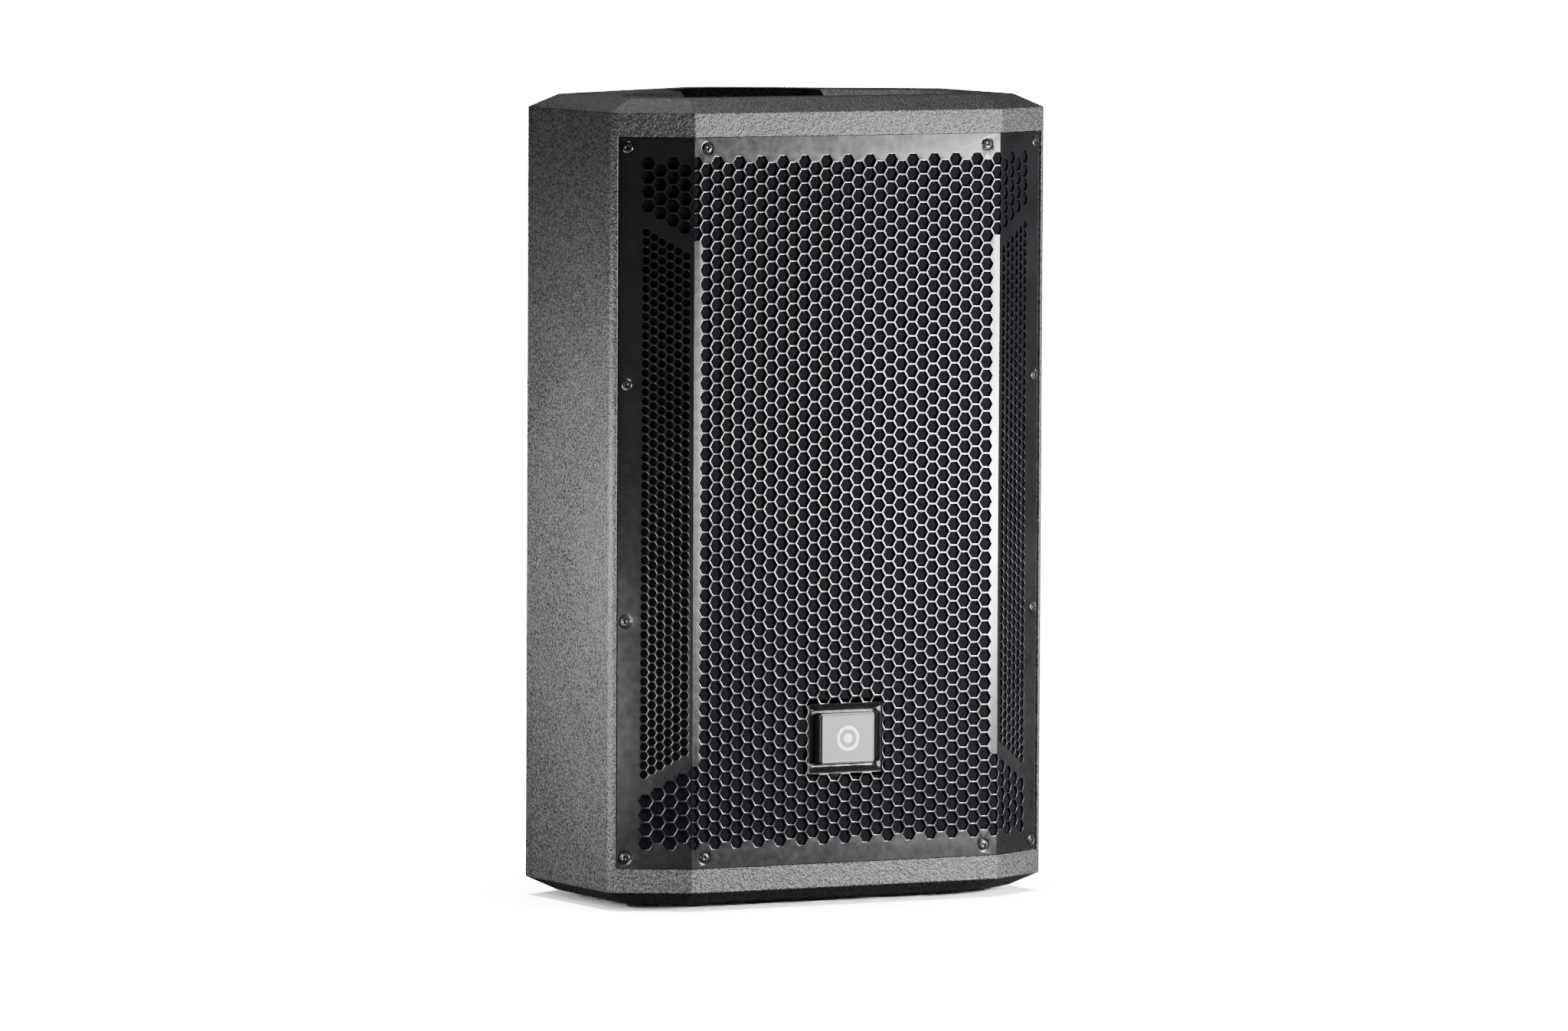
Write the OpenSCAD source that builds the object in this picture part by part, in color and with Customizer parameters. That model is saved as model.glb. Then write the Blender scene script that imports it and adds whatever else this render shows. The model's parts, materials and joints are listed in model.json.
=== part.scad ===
// Two-way PA speaker cabinet with a folded hexagon-perforated grille.
// Origin: centre of the footprint on the floor. +Z up, the grille faces -Y.

/* [Cabinet] */
// Overall width of the wooden cabinet
body_w = 371; // [369:1:373]
// Depth from the front plane to the back panel
body_d = 271; // [268:1:276]
// Depth at which the front bevels meet the sides
side_front = 30.5; // [30:0.5:31.5]
// Depth at which the sides meet the slanted rear panels
side_back = 172; // [170:1:176]
// Width of the narrow back panel
back_w = 34; // [32:1:40]
// Thickness of the plywood walls
panel_t = 18; // [17:0.5:18]
// Height of the flat rim band above and below the grille
rim_band = 18; // [17:0.5:19]
// Height of the chamfer around the top and the bottom
chamfer_v = 10; // [9:0.5:11]
// Width of that chamfer seen from above
chamfer_h = 21; // [20:0.5:22]
// Radius of the rounded front corners of the side panels
corner_r = 7; // [5:0.5:8]
// Height of the rubber feet
foot_h = 4; // [3.5:0.5:5]

/* [Grille] */
// Distance between the centres of the large hexagonal holes
hex_pitch = 10.65; // [10.6:0.05:10.7]
// Thickness of the grille's steel sheet
sheet_t = 1.5; // [1.2:0.1:1.6]
// How far the sheet lies behind the rim band
grille_recess = 1.5; // [1.2:0.1:1.6]
// Distance from the outermost column of front holes to the fold beside it
fold_margin = 1.9; // [1.6:0.1:2.2]
// Distance from a fold to the outer edge of the sheet
grille_edge = 56.4; // [56:0.2:57]
// Thickness of the foam behind the sheet
foam_t = 4; // [3:0.5:4]
// How far the badge stands out of the front plane
badge_proud = 3; // [2:0.5:4]

/* [Handle] */
// Depth of the shallow trough
trough_depth = 22; // [18:1:23]
// Depth of the hand pocket
pocket_depth = 56; // [50:1:58]

/* [Drivers] */
// Outer radius of the woofer's rim
woofer_r = 156; // [154:0.5:156]
// Height of the woofer's centre above the bottom of the cabinet
woofer_z = 196; // [195:1:198]
// Height of the horn's centre above the bottom of the cabinet
horn_z = 486; // [484:1:488]
// Width of the horn's mouth
horn_w = 190; // [180:1:190]
// Height of the horn's mouth
horn_h = 130; // [120:1:130]
// Inner radius of the port tubes
port_r = 30; // [26:0.5:30]

/* [Fittings] */
// Radius of the pole socket's bore
pole_r = 18; // [17.8:0.1:18.2]
// Bore radius of the threaded rigging inserts
insert_bore_r = 4.25; // [4:0.25:5]
// Width of the opening of the input dish
dish_w = 104; // [100:1:106]
// Height of the opening of the input dish
dish_h = 124; // [120:1:128]

/* [Hidden] */
$fn = 48;
eps = 0.01;

// Plan of the cabinet: y runs from the front plane to the back, z from the underside of the body.
hex_columns = 28;
fold_x = hex_columns * hex_pitch * sqrt(3) / 4 + fold_margin;
plan_half = [[fold_x, 0], [body_w / 2, side_front], [body_w / 2, side_back], [back_w / 2, body_d]];
plan = mirrored_outline(plan_half);
bevel_a = atan2(side_front, body_w / 2 - fold_x);
rear_a = atan2(body_d - side_back, body_w / 2 - back_w / 2);

// Heights
cap_t = rim_band + chamfer_v;
wall_h = 48 * hex_pitch + 38.8;
body_h = wall_h + 2 * cap_t;
wall_top = cap_t + wall_h;
mid_z = body_h / 2;

// The body stands on its feet, and the origin is the centre of everything between badge and dish.
dish_flange_t = 2;
front_y = -(body_d + dish_flange_t - badge_proud) / 2;

// Grille, foam and what they are fixed to
sheet_back = grille_recess + sheet_t;
sheet_gap = 0.5;
foam_gap = 0.2;
foam_front = sheet_back + foam_gap;
foam_edge = 39.5;
baffle_y = 28;
brace_y = 142;
brace_z = 388;
brace_t = 15;
rail_h = 14;
rail_w = 250;
screw_rise = 25.05 * hex_pitch;
screw_step = 8.33 * hex_pitch;
bevel_screw_s = 50.4;
front_screw_x = 12.95 * hex_pitch * sqrt(3) / 2;
screw_head_r = 4;
screw_shank_r = 1.9;
screw_len = 16;
bevel_screw_len = 9;
pilot_r = 2;

// Badge
badge_z = mid_z + (24 - 40.95) * hex_pitch;
dish_in_w = 64;
dish_in_h = 53;
press_depth = 4;
badge_w = 47;
badge_h = 39;
plate_t = 1.2;

// Handle recess
trough_half = [[112, 48], [138, 82], [138, 98], [129, 124], [60, 160]];
pocket_half = [[60, 130], [60, 190], [20, 222]];
handle_half = [[112, 48], [138, 82], [138, 98], [129, 124], [60, 160], [60, 190], [20, 222]];
trough_run = 26;
undercut = 18;
undercut_h = 25;
cup_t = 3;
cup_flange = 12;
handle_head_h = 1.2;
handle_screw_pos = [[90, 42], [144, 90], [100, 146], [67, 178], [0, 228]];

// Woofer, depths measured back from the front of the baffle
rim_t = 6;
coil_r = 32;
cone_edge_r = 121;
cone_depth = 61;
roll_r = 7.2;
roll_t = 1;
basket_inner_r = 135;
cap_edge_r = 44.5;
cap_sphere_r = 56;
cap_rise = sqrt(pow(cap_sphere_r, 2) - pow(cap_edge_r, 2));
cap_edge_w = (cone_edge_r - 5 - cap_edge_r) * cone_depth / (cone_edge_r - 5.3 - coil_r) - 0.2;
woofer_screw_r = 151.5;
woofer_screw_len = 18;
top_plate_w = 98;
top_plate_t = 8;
magnet_t = 22;
back_plate_t = 10;
spider_w = 84.8;
spider_t = 1;
spider_wave = 1.5;

// Horn and driver
flange_w = 210;
flange_h = 150;
throat_r = 12.7;
throat_w = 84;
horn_wall = 3.5;
horn_screw_inset = 5;
driver_w = 88;
driver_plate_t = 10;
dome_r = 28;
dome_t = 0.6;
dome_cut = 19;

// Ports
port_x = 118;
port_z = 374;
port_len = 110;

// Crossover board, on the floor of the cabinet
board_x = 40;
board_y = 62;
board_w = 110;
board_d = 100;
board_t = 1.6;
board_inset = 8;
standoff_h = 8;
board_z = cap_t + standoff_h;
board_top = board_z + board_t;

// Input dish
input_z = 170;
dish_floor = 231;
dish_wall = 3;
dish_rim = 13;
socket_x = 24;
socket_z = 188;
socket_cavity_r = 11;
socket_core_r = 5.8;
switch_z = 138;
lever_w = 7;
lever_travel = 8;

// Underside and rigging
pole_y = 125;
pole_depth = 80;
insert_pos = [148, 148];
foot_pos = [[140, 62], [60, 200]];
foot_r = 12.5;

// ---------- helpers ----------

function mirrored_outline(half) = concat(half,
    [for (i = [len(half) - 1 : -1 : 0]) [-half[i][0], half[i][1]]]);

function unit(v) = v / norm(v);

function edge_normal(p, q) = unit([q[1] - p[1], p[0] - q[0]]);

// Offsets a closed outline by d, keeping its corners sharp.
function grow(pts, d) = [for (i = [0 : len(pts) - 1])
    let (n1 = edge_normal(pts[(i + len(pts) - 1) % len(pts)], pts[i]))
    let (n2 = edge_normal(pts[i], pts[(i + 1) % len(pts)]))
    pts[i] + d * (n1 + n2) / (1 + n1 * n2)];

// A point on the right bevel: s along it from the fold, d behind its face.
function on_bevel(s, d) = [fold_x + s * cos(bevel_a) - d * sin(bevel_a),
    s * sin(bevel_a) + d * cos(bevel_a)];

// A folded strip across the front: from depth d0 to d1 behind the faces, ending at s on each bevel.
function folded_strip(d0, d1, s) = let (outer = grow(plan, -d0), inner = grow(plan, -d1))
    let (right = [outer[0], on_bevel(s, d0), on_bevel(s, d1), inner[0]])
    mirrored_outline(right);

module body() {
    translate([0, front_y, foot_h]) children();
}

module slab(pts, z0, z1) {
    translate([0, 0, z0]) linear_extrude(z1 - z0) polygon(pts);
}

module both_sides() {
    children();
    mirror([1, 0, 0]) children();
}

// Turns +Z into the depth direction at a point of the baffle's front face.
module on_baffle(x, z) {
    translate([x, baffle_y, z]) rotate([-90, 0, 0]) children();
}

module tube(r_out, r_in, z0, z1) {
    translate([0, 0, z0]) difference() {
        cylinder(h = z1 - z0, r = r_out);
        translate([0, 0, -1]) cylinder(h = z1 - z0 + 2, r = r_in);
    }
}

// Phillips screw along +Z: the head's top is at z = -head_h, the shank goes down from 0.
module phillips_screw(head_r, head_h, shank_r, length) {
    difference() {
        union() {
            translate([0, 0, -head_h]) cylinder(h = head_h, r = head_r);
            translate([0, 0, -eps]) cylinder(h = length, r = shank_r);
        }
        for (a = [0, 90])
            rotate(a) translate([-head_r * 0.55, -head_r * 0.11, -head_h - 1])
                cube([head_r * 1.1, head_r * 0.22, 1 + head_h * 0.7]);
    }
}

module at_bevel_screws() {
    for (z = [mid_z - screw_rise, mid_z - screw_step, mid_z + screw_step, mid_z + screw_rise])
        both_sides() translate([0, 0, z])
            translate(concat(on_bevel(bevel_screw_s, grille_recess), 0))
                rotate([-90, 0, bevel_a]) children();
}

module at_front_screws() {
    for (z = [mid_z - screw_rise, mid_z + screw_rise])
        both_sides() translate([front_screw_x, grille_recess, z]) rotate([-90, 0, 0]) children();
}

// ---------- wooden cabinet ----------

module cap_blank() {
    hull() {
        slab(plan, 0, rim_band);
        slab(grow(plan, -chamfer_h), cap_t - eps, cap_t);
    }
}

module insert_pocket() {
    translate([0, 0, -23]) cylinder(h = 24, r = 7.1);
    translate([0, 0, -1.6]) cylinder(h = 3, r = 10.1);
}

module panel_top() color([0.13, 0.13, 0.14]) body() difference() {
    translate([0, 0, wall_top]) cap_blank();
    slab(grow(mirrored_outline(handle_half), cup_t + 0.1), wall_top - 1, body_h + 1);
    slab(grow(mirrored_outline(handle_half), cup_flange + 0.1), body_h - cup_t, body_h + 1);
    both_sides() translate([insert_pos[0], insert_pos[1], body_h]) insert_pocket();
    both_sides() for (p = handle_screw_pos)
        translate([p[0], p[1], body_h - 20]) cylinder(h = 21, r = pilot_r);
}

module panel_bottom() color([0.13, 0.13, 0.14]) body() difference() {
    translate([0, 0, cap_t]) mirror([0, 0, 1]) cap_blank();
    both_sides() translate([insert_pos[0], insert_pos[1], 0]) mirror([0, 0, 1]) insert_pocket();
    both_sides() for (p = foot_pos)
        translate([p[0], p[1], -1]) cylinder(h = 16, r = pilot_r);
    translate([0, pole_y, -1]) cylinder(h = cap_t + 2, r = pole_r + 2.8);
    for (a = [45 : 90 : 315])
        translate([0, pole_y, -1]) rotate(a) translate([29, 0, 0]) cylinder(h = 16, r = pilot_r);
}

// The side wall seen from above: rounded at the front, with a rebate that the grille sits in.
module side_profile() {
    inner = grow(plan, -panel_t);
    round_c = grow(plan, -corner_r)[1];
    inner_s = (inner[1][0] - fold_x + sheet_back * sin(bevel_a)) / cos(bevel_a);
    land_s = grille_edge + sheet_gap;
    difference() {
        union() {
            polygon([on_bevel(inner_s, sheet_back), on_bevel(land_s, sheet_back),
                on_bevel(land_s, 0), round_c + corner_r * [sin(bevel_a), -cos(bevel_a)],
                round_c + [corner_r, 0], plan[2], inner[2]]);
            translate(round_c) circle(r = corner_r);
        }
        polygon([on_bevel(inner_s, -1), on_bevel(land_s, -1), on_bevel(land_s, sheet_back),
            on_bevel(inner_s, sheet_back)]);
    }
}

module side_right() color([0.12, 0.12, 0.13]) body() difference() {
    translate([0, 0, cap_t]) linear_extrude(wall_h) side_profile();
    at_bevel_screws() translate([0, 0, sheet_t]) cylinder(h = bevel_screw_len, r = pilot_r);
}

module side_left() color([0.12, 0.12, 0.13]) mirror([1, 0, 0]) side_right();

module dish_cut(extra) {
    translate([-dish_w / 2 - dish_wall - extra, dish_floor - 10, input_z - dish_h / 2 - dish_wall - extra])
        cube([dish_w + 2 * (dish_wall + extra), 100, dish_h + 2 * (dish_wall + extra)]);
}

module rear_screws_at() {
    for (z = [input_z - 62, input_z, input_z + 62])
        both_sides() translate([dish_w / 2 + 8.5, 0, z])
            translate([0, rear_line(dish_w / 2 + 8.5), 0]) rotate([-90, 0, -rear_a]) children();
}

function rear_line(x) = body_d - (x - back_w / 2) * tan(rear_a);

module rear_right() color([0.12, 0.12, 0.13]) body() difference() {
    inner = grow(plan, -panel_t);
    slab([inner[2], plan[2], plan[3], inner[3]], cap_t, wall_top);
    dish_cut(0.2);
    rear_screws_at() translate([0, 0, -7]) cylinder(h = 8, r = pilot_r);
}

module rear_left() color([0.12, 0.12, 0.13]) mirror([1, 0, 0]) rear_right();

module back_panel() color([0.12, 0.12, 0.13]) body() difference() {
    inner = grow(plan, -panel_t);
    slab([inner[3], plan[3], plan[4], inner[4]], cap_t, wall_top);
    dish_cut(0.2);
}

module baffle() color([0.45, 0.33, 0.2]) body() difference() {
    half_w = body_w / 2 - panel_t;
    translate([-half_w, baffle_y, cap_t]) cube([2 * half_w, panel_t, wall_h]);
    on_baffle(0, woofer_z) translate([0, 0, -1]) cylinder(h = rim_t + 1.1, r = woofer_r + 0.3);
    on_baffle(0, woofer_z) translate([0, 0, -1]) cylinder(h = panel_t + 2, r = 144);
    on_baffle(0, woofer_z) for (a = [22.5 : 45 : 359])
        rotate(a) translate([woofer_screw_r, 0, -1]) cylinder(h = panel_t + 2, r = pilot_r + 0.2);
    translate([-horn_w / 2 - 1, baffle_y - 1, horn_z - horn_h / 2 - 1])
        cube([horn_w + 2, panel_t + 2, horn_h + 2]);
    at_horn_screws() translate([0, 0, -1]) cylinder(h = 15, r = pilot_r);
    both_sides() on_baffle(port_x, port_z) translate([0, 0, -1])
        cylinder(h = panel_t + 2, r = port_r + 3.2);
}

module brace() color([0.45, 0.33, 0.2]) body() difference() {
    inner = grow(plan, -panel_t - 0.1);
    slab(mirrored_outline([[inner[1][0], brace_y], inner[2], inner[3]]), brace_z,
        brace_z + brace_t);
    translate([0, brace_y + 46, brace_z - 1]) cylinder(h = brace_t + 2, r = 32);
    both_sides() translate([90, brace_y + 32, brace_z - 1]) cylinder(h = brace_t + 2, r = 20);
}

module grille_rails() color([0.4, 0.3, 0.2]) body() difference() {
    for (z = [cap_t, wall_top - rail_h])
        translate([-rail_w / 2, sheet_back, z]) cube([rail_w, baffle_y - sheet_back, rail_h]);
    at_front_screws() translate([0, 0, sheet_t - 0.1]) cylinder(h = screw_len, r = pilot_r);
}

// ---------- grille and badge ----------

module grille() color([0.05, 0.05, 0.055]) body() difference() {
    union() {
        slab(folded_strip(grille_recess, sheet_back, grille_edge), cap_t + sheet_gap,
            wall_top - sheet_gap);
        translate([-dish_in_w / 2 - sheet_t, grille_recess, badge_z - dish_in_h / 2 - sheet_t])
            cube([dish_in_w + 2 * sheet_t, press_depth + sheet_t, dish_in_h + 2 * sheet_t]);
    }
    translate([-dish_in_w / 2, grille_recess - 1, badge_z - dish_in_h / 2])
        cube([dish_in_w, press_depth + 1, dish_in_h]);
    at_bevel_screws() translate([0, 0, -1]) cylinder(h = sheet_t + 2, r = pilot_r + 0.3);
    at_front_screws() translate([0, 0, -1]) cylinder(h = sheet_t + 2, r = pilot_r + 0.3);
}

module grille_foam() color([0.08, 0.08, 0.1]) body() difference() {
    slab(folded_strip(foam_front, foam_front + foam_t, foam_edge), cap_t + rail_h + 0.5,
        wall_top - rail_h - 0.5);
    translate([-dish_in_w / 2 - 3, 0, badge_z - dish_in_h / 2 - 3])
        cube([dish_in_w + 6, 20, dish_in_h + 6]);
}

module grille_screws() color([0.12, 0.12, 0.12]) body() {
    at_bevel_screws() phillips_screw(screw_head_r, 1.3, screw_shank_r, bevel_screw_len);
    at_front_screws() phillips_screw(screw_head_r, 1.3, screw_shank_r, screw_len);
}

module badge_base() color([0.06, 0.06, 0.06]) body() {
    base_depth = grille_recess + press_depth + badge_proud - plate_t;
    translate([-badge_w / 2, plate_t - badge_proud, badge_z - badge_h / 2])
        cube([badge_w, base_depth, badge_h]);
}

module badge_plate() color([0.6, 0.6, 0.6]) body() {
    edge = 1.5;
    translate([-badge_w / 2 + edge, -badge_proud, badge_z - badge_h / 2 + edge])
        cube([badge_w - 2 * edge, plate_t, badge_h - 2 * edge]);
}

// ---------- handle ----------

module trough(extra, top, floor_drop) {
    outline = mirrored_outline(trough_half);
    hull() {
        slab(grow(outline, extra), top - eps, top);
        slab(grow(outline, extra - trough_run), body_h - trough_depth - floor_drop,
            body_h - trough_depth - floor_drop + eps);
    }
}

module pocket(extra, top, floor_drop) {
    outline = mirrored_outline(pocket_half);
    slab(grow(outline, extra), body_h - pocket_depth - floor_drop, top);
    translate([-60 - extra, 130 - undercut - extra, body_h - pocket_depth - floor_drop])
        cube([120 + 2 * extra, undercut + 10, undercut_h + 2 * floor_drop]);
}

module handle_cup() color([0.1, 0.1, 0.11]) body() difference() {
    union() {
        slab(grow(mirrored_outline(handle_half), cup_flange), body_h - cup_t + 0.1, body_h);
        trough(cup_t, body_h - 0.5, cup_t);
        pocket(cup_t, body_h - 0.5, cup_t);
    }
    trough(0, body_h + eps, 0);
    pocket(0, body_h + 1, 0);
    both_sides() for (p = handle_screw_pos) {
        translate([p[0], p[1], body_h - 10]) cylinder(h = 12, r = pilot_r);
        translate([p[0], p[1], body_h - handle_head_h - 0.2]) cylinder(h = 2, r = 3.4);
    }
}

module handle_screws() color([0.1, 0.1, 0.1]) body()
    for (p = handle_screw_pos, side = (p[0] == 0 ? [1] : [-1, 1]))
        translate([side * p[0], p[1], body_h - handle_head_h - 0.2]) mirror([0, 0, 1])
            phillips_screw(3.2, handle_head_h, screw_shank_r, screw_len);

// ---------- rigging, feet and pole socket ----------

module rigging_insert() difference() {
    union() {
        translate([0, 0, -22]) cylinder(h = 22, r = 7);
        translate([0, 0, -1.5]) cylinder(h = 1.5, r = 10);
    }
    translate([0, 0, -20]) cylinder(h = 21, r = insert_bore_r);
}

module rigging_inserts() color([0.15, 0.15, 0.16]) body() both_sides() {
    translate([insert_pos[0], insert_pos[1], body_h]) rigging_insert();
    translate([insert_pos[0], insert_pos[1], 0]) mirror([0, 0, 1]) rigging_insert();
}

module feet() color([0.07, 0.07, 0.07]) body() both_sides() for (p = foot_pos)
    translate([p[0], p[1], -foot_h]) difference() {
        cylinder(h = foot_h, r = foot_r);
        translate([0, 0, -1]) cylinder(h = foot_h + 2, r = pilot_r + 0.3);
        translate([0, 0, -1]) cylinder(h = 3, r = 5);
    }

module foot_screws() color([0.5, 0.5, 0.5]) body() both_sides() for (p = foot_pos)
    translate([p[0], p[1], -foot_h + 2]) phillips_screw(4.2, 1.5, screw_shank_r, screw_len);

module pole_cup() color([0.1, 0.1, 0.1]) body() translate([0, pole_y, 0]) difference() {
    union() {
        translate([0, 0, -3]) cylinder(h = 3, r = 36);
        translate([0, 0, -1]) cylinder(h = pole_depth + 4, r = pole_r + 2.5);
    }
    translate([0, 0, -4]) cylinder(h = pole_depth + 4, r = pole_r);
    for (a = [45 : 90 : 315])
        rotate(a) translate([29, 0, -4]) cylinder(h = 6, r = pilot_r + 0.2);
}

module pole_cup_screws() color([0.5, 0.5, 0.5]) body() translate([0, pole_y, -3])
    for (a = [45 : 90 : 315])
        rotate(a) translate([29, 0, 0]) phillips_screw(3.6, 0.9, screw_shank_r, screw_len);

// ---------- woofer ----------

module woofer_basket() color([0.2, 0.2, 0.21]) body() on_baffle(0, woofer_z) difference() {
    rotate_extrude($fn = 96) polygon([[basket_inner_r, 0], [woofer_r, 0], [woofer_r, rim_t],
        [143, rim_t], [143, 18], [80, 84], [80, top_plate_w], [36, top_plate_w], [36, 94], [66, 94],
        [66, 86], [76, 86], [76, 82], [139, 17], [139, 4], [basket_inner_r, 3]]);
    for (a = [0 : 60 : 300])
        rotate(a) translate([81, -27, 28]) cube([60, 54, 50]);
    for (a = [22.5 : 45 : 359])
        rotate(a) translate([woofer_screw_r, 0, -1]) cylinder(h = rim_t + 2, r = pilot_r + 0.3);
}

module woofer_gasket() color([0.06, 0.06, 0.06]) body() on_baffle(0, woofer_z)
    tube(147, 137, -4, -1);

module woofer_surround() color([0.09, 0.09, 0.09]) body() on_baffle(0, woofer_z)
    rotate_extrude($fn = 96) {
        translate([basket_inner_r, -roll_t]) square([12, roll_t]);
        translate([cone_edge_r - 5, -roll_t]) square([5.5, roll_t]);
        translate([(basket_inner_r + cone_edge_r + 0.4) / 2, 0]) difference() {
            circle(r = roll_r);
            circle(r = roll_r - roll_t);
            translate([-roll_r - 1, 0]) square([2 * roll_r + 2, roll_r + 1]);
        }
    }

module woofer_cone() color([0.12, 0.12, 0.12]) body() on_baffle(0, woofer_z)
    rotate_extrude($fn = 96) polygon([[cone_edge_r, 0], [cone_edge_r, 1.2], [cone_edge_r - 4, 1.2],
        [coil_r + 2, cone_depth + 2], [coil_r + 0.3, cone_depth + 2], [coil_r + 0.3, cone_depth],
        [cone_edge_r - 5, 0]]);

module dust_cap() color([0.1, 0.1, 0.1]) body() on_baffle(0, woofer_z)
    translate([0, 0, cap_edge_w + cap_rise]) rotate_extrude($fn = 64) difference() {
        circle(r = cap_sphere_r);
        circle(r = cap_sphere_r - 0.8);
        translate([-60, -60]) square([60, 120]);
        translate([0, -cap_rise]) square([60, 120]);
    }

module voice_coil() color([0.72, 0.45, 0.25]) body() on_baffle(0, woofer_z) {
    tube(coil_r, coil_r - 0.5, 60, 112);
    tube(coil_r + 1.2, coil_r - 0.1, 96, 112);
}

module spider() color([0.75, 0.6, 0.3]) body() on_baffle(0, woofer_z)
    rotate_extrude($fn = 64) polygon(concat(
        [for (r = [0.4 : 2 : 30.4]) [coil_r + r, spider_w + spider_wave * sin(r * 45)]],
        [[65.5, spider_w], [75.7, spider_w], [75.7, spider_w + 1.2], [65.5, spider_w + 1.2]],
        [for (r = [30.4 : -2 : 0.4])
            [coil_r + r, spider_w + spider_t + spider_wave * sin(r * 45)]]));

module woofer_front_plate() color([0.5, 0.5, 0.52]) body() on_baffle(0, woofer_z)
    tube(78, coil_r + 2.2, top_plate_w, top_plate_w + top_plate_t);

module woofer_magnet() color([0.16, 0.16, 0.17]) body() on_baffle(0, woofer_z)
    tube(85, 45, top_plate_w + top_plate_t, top_plate_w + top_plate_t + magnet_t);

module woofer_back_plate() color([0.5, 0.5, 0.52]) body() on_baffle(0, woofer_z) difference() {
    pole_h = top_plate_t + magnet_t;
    union() {
        translate([0, 0, top_plate_w + pole_h]) cylinder(h = back_plate_t, r = 80);
        translate([0, 0, top_plate_w]) cylinder(h = pole_h + 1, r = coil_r - 1.5);
    }
    translate([0, 0, top_plate_w - 1]) cylinder(h = 50, r = 10);
}

module woofer_screws() color([0.15, 0.15, 0.15]) body() on_baffle(0, woofer_z)
    for (a = [22.5 : 45 : 359])
        rotate(a) translate([woofer_screw_r, 0, 0])
            phillips_screw(3.8, 1.6, pilot_r, woofer_screw_len);

// ---------- horn and high-frequency driver ----------

module at_horn_screws() {
    half_w = flange_w / 2 - horn_screw_inset;
    half_h = flange_h / 2 - horn_screw_inset;
    for (x = [-half_w, 0, half_w], z = [-half_h, half_h]) on_baffle(x, horn_z + z) children();
}

module horn_shell(extra, throat_extra, z0, z1) {
    hull() {
        translate([-horn_w / 2 - extra, -horn_h / 2 - extra, z0])
            cube([horn_w + 2 * extra, horn_h + 2 * extra, 0.5]);
        translate([0, 0, z1]) cylinder(h = 1, r = throat_r + throat_extra, $fn = 32);
    }
}

module horn() color([0.07, 0.07, 0.07]) body() difference() {
    on_baffle(0, horn_z) {
        translate([-flange_w / 2, -flange_h / 2, -4]) cube([flange_w, flange_h, 4]);
        horn_shell(horn_wall - 3, horn_wall + 1.5, -4, throat_w - 1);
        translate([0, 0, throat_w - 4]) cylinder(h = driver_w - throat_w + 4, r = 45);
    }
    on_baffle(0, horn_z) {
        horn_shell(-3, 0, -5, throat_w - 1);
        translate([0, 0, throat_w - 2]) cylinder(h = 20, r = throat_r);
    }
    at_horn_screws() translate([0, 0, -5]) cylinder(h = 6, r = pilot_r + 0.3);
}

module horn_screws() color([0.15, 0.15, 0.15]) body()
    at_horn_screws() translate([0, 0, -4]) phillips_screw(3.6, 1.6, screw_shank_r, screw_len);

module driver_front_plate() color([0.5, 0.5, 0.52]) body() on_baffle(0, horn_z)
    tube(50, throat_r, driver_w, driver_w + driver_plate_t);

module driver_magnet() color([0.16, 0.16, 0.17]) body() on_baffle(0, horn_z)
    tube(48, 25, driver_w + driver_plate_t, driver_w + driver_plate_t + magnet_t);

module phase_plug() color([0.3, 0.3, 0.32]) body() on_baffle(0, horn_z)
    translate([0, 0, driver_w + driver_plate_t])
        rotate_extrude() polygon([[13, 0], [24.6, 0], [24.6, 18], [17, 18]]);

module diaphragm() color([0.75, 0.75, 0.78]) body() on_baffle(0, horn_z)
    translate([0, 0, driver_w + 14.3]) rotate_extrude() {
        difference() {
            circle(r = dome_r + dome_t);
            circle(r = dome_r);
            translate([-40, -40]) square([40, 80]);
            translate([0, -40]) square([40, 40 + dome_cut]);
        }
        translate([20.6, dome_cut - 0.4]) square([6, dome_t]);
    }

module driver_cap() color([0.12, 0.12, 0.12]) body() on_baffle(0, horn_z) difference() {
    cap_w = driver_w + driver_plate_t + magnet_t;
    translate([0, 0, cap_w]) cylinder(h = 18, r = 42);
    translate([0, 0, cap_w - 1]) cylinder(h = 15, r = 31);
}

// ---------- ports ----------

module port_tube() {
    tube(port_r + 6.5, port_r, -2, 0);
    tube(port_r + 3, port_r, -1, port_len);
}

module port_left() color([0.07, 0.07, 0.07]) body() on_baffle(-port_x, port_z) port_tube();

module port_right() color([0.07, 0.07, 0.07]) body() on_baffle(port_x, port_z) port_tube();

// ---------- crossover, wiring and damping ----------

module at_board_corners() {
    for (x = [board_inset, board_w - board_inset], y = [board_inset, board_d - board_inset])
        translate([board_x + x, board_y + y, 0]) children();
}

module crossover_board() color([0.1, 0.3, 0.15]) body() difference() {
    translate([board_x, board_y, board_z]) cube([board_w, board_d, board_t]);
    at_board_corners() translate([0, 0, board_z - 1]) cylinder(h = 4, r = 1.7);
}

module board_standoffs() color([0.7, 0.6, 0.3]) body()
    at_board_corners() translate([0, 0, cap_t]) cylinder(h = standoff_h, r = 4);

module inductors() color([0.7, 0.4, 0.2]) body() {
    for (p = [[32, 32, 21], [80, 34, 18]])
        translate([board_x + p[0], board_y + p[1], 0]) tube(p[2], p[2] / 2, board_top, board_top + 22);
}

module capacitors() color([0.75, 0.2, 0.15]) body()
    for (y = [60, 74, 88])
        translate([board_x + 20, board_y + y, board_top + 6]) rotate([0, 90, 0])
            cylinder(h = 34, r = 6);

module resistors() color([0.85, 0.85, 0.8]) body()
    for (y = [62, 74, 86])
        translate([board_x + 62, board_y + y, board_top]) cube([36, 8, 8]);

// A round wire along a route: a ring of points at each route point, turned to its direction.
function wire_dir(route, i) = unit(route[min(i + 1, len(route) - 1)] - route[max(i - 1, 0)]);

function wire_side(d) = unit(cross(abs(d[2]) > 0.9 ? [1, 0, 0] : [0, 0, 1], d));

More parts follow.
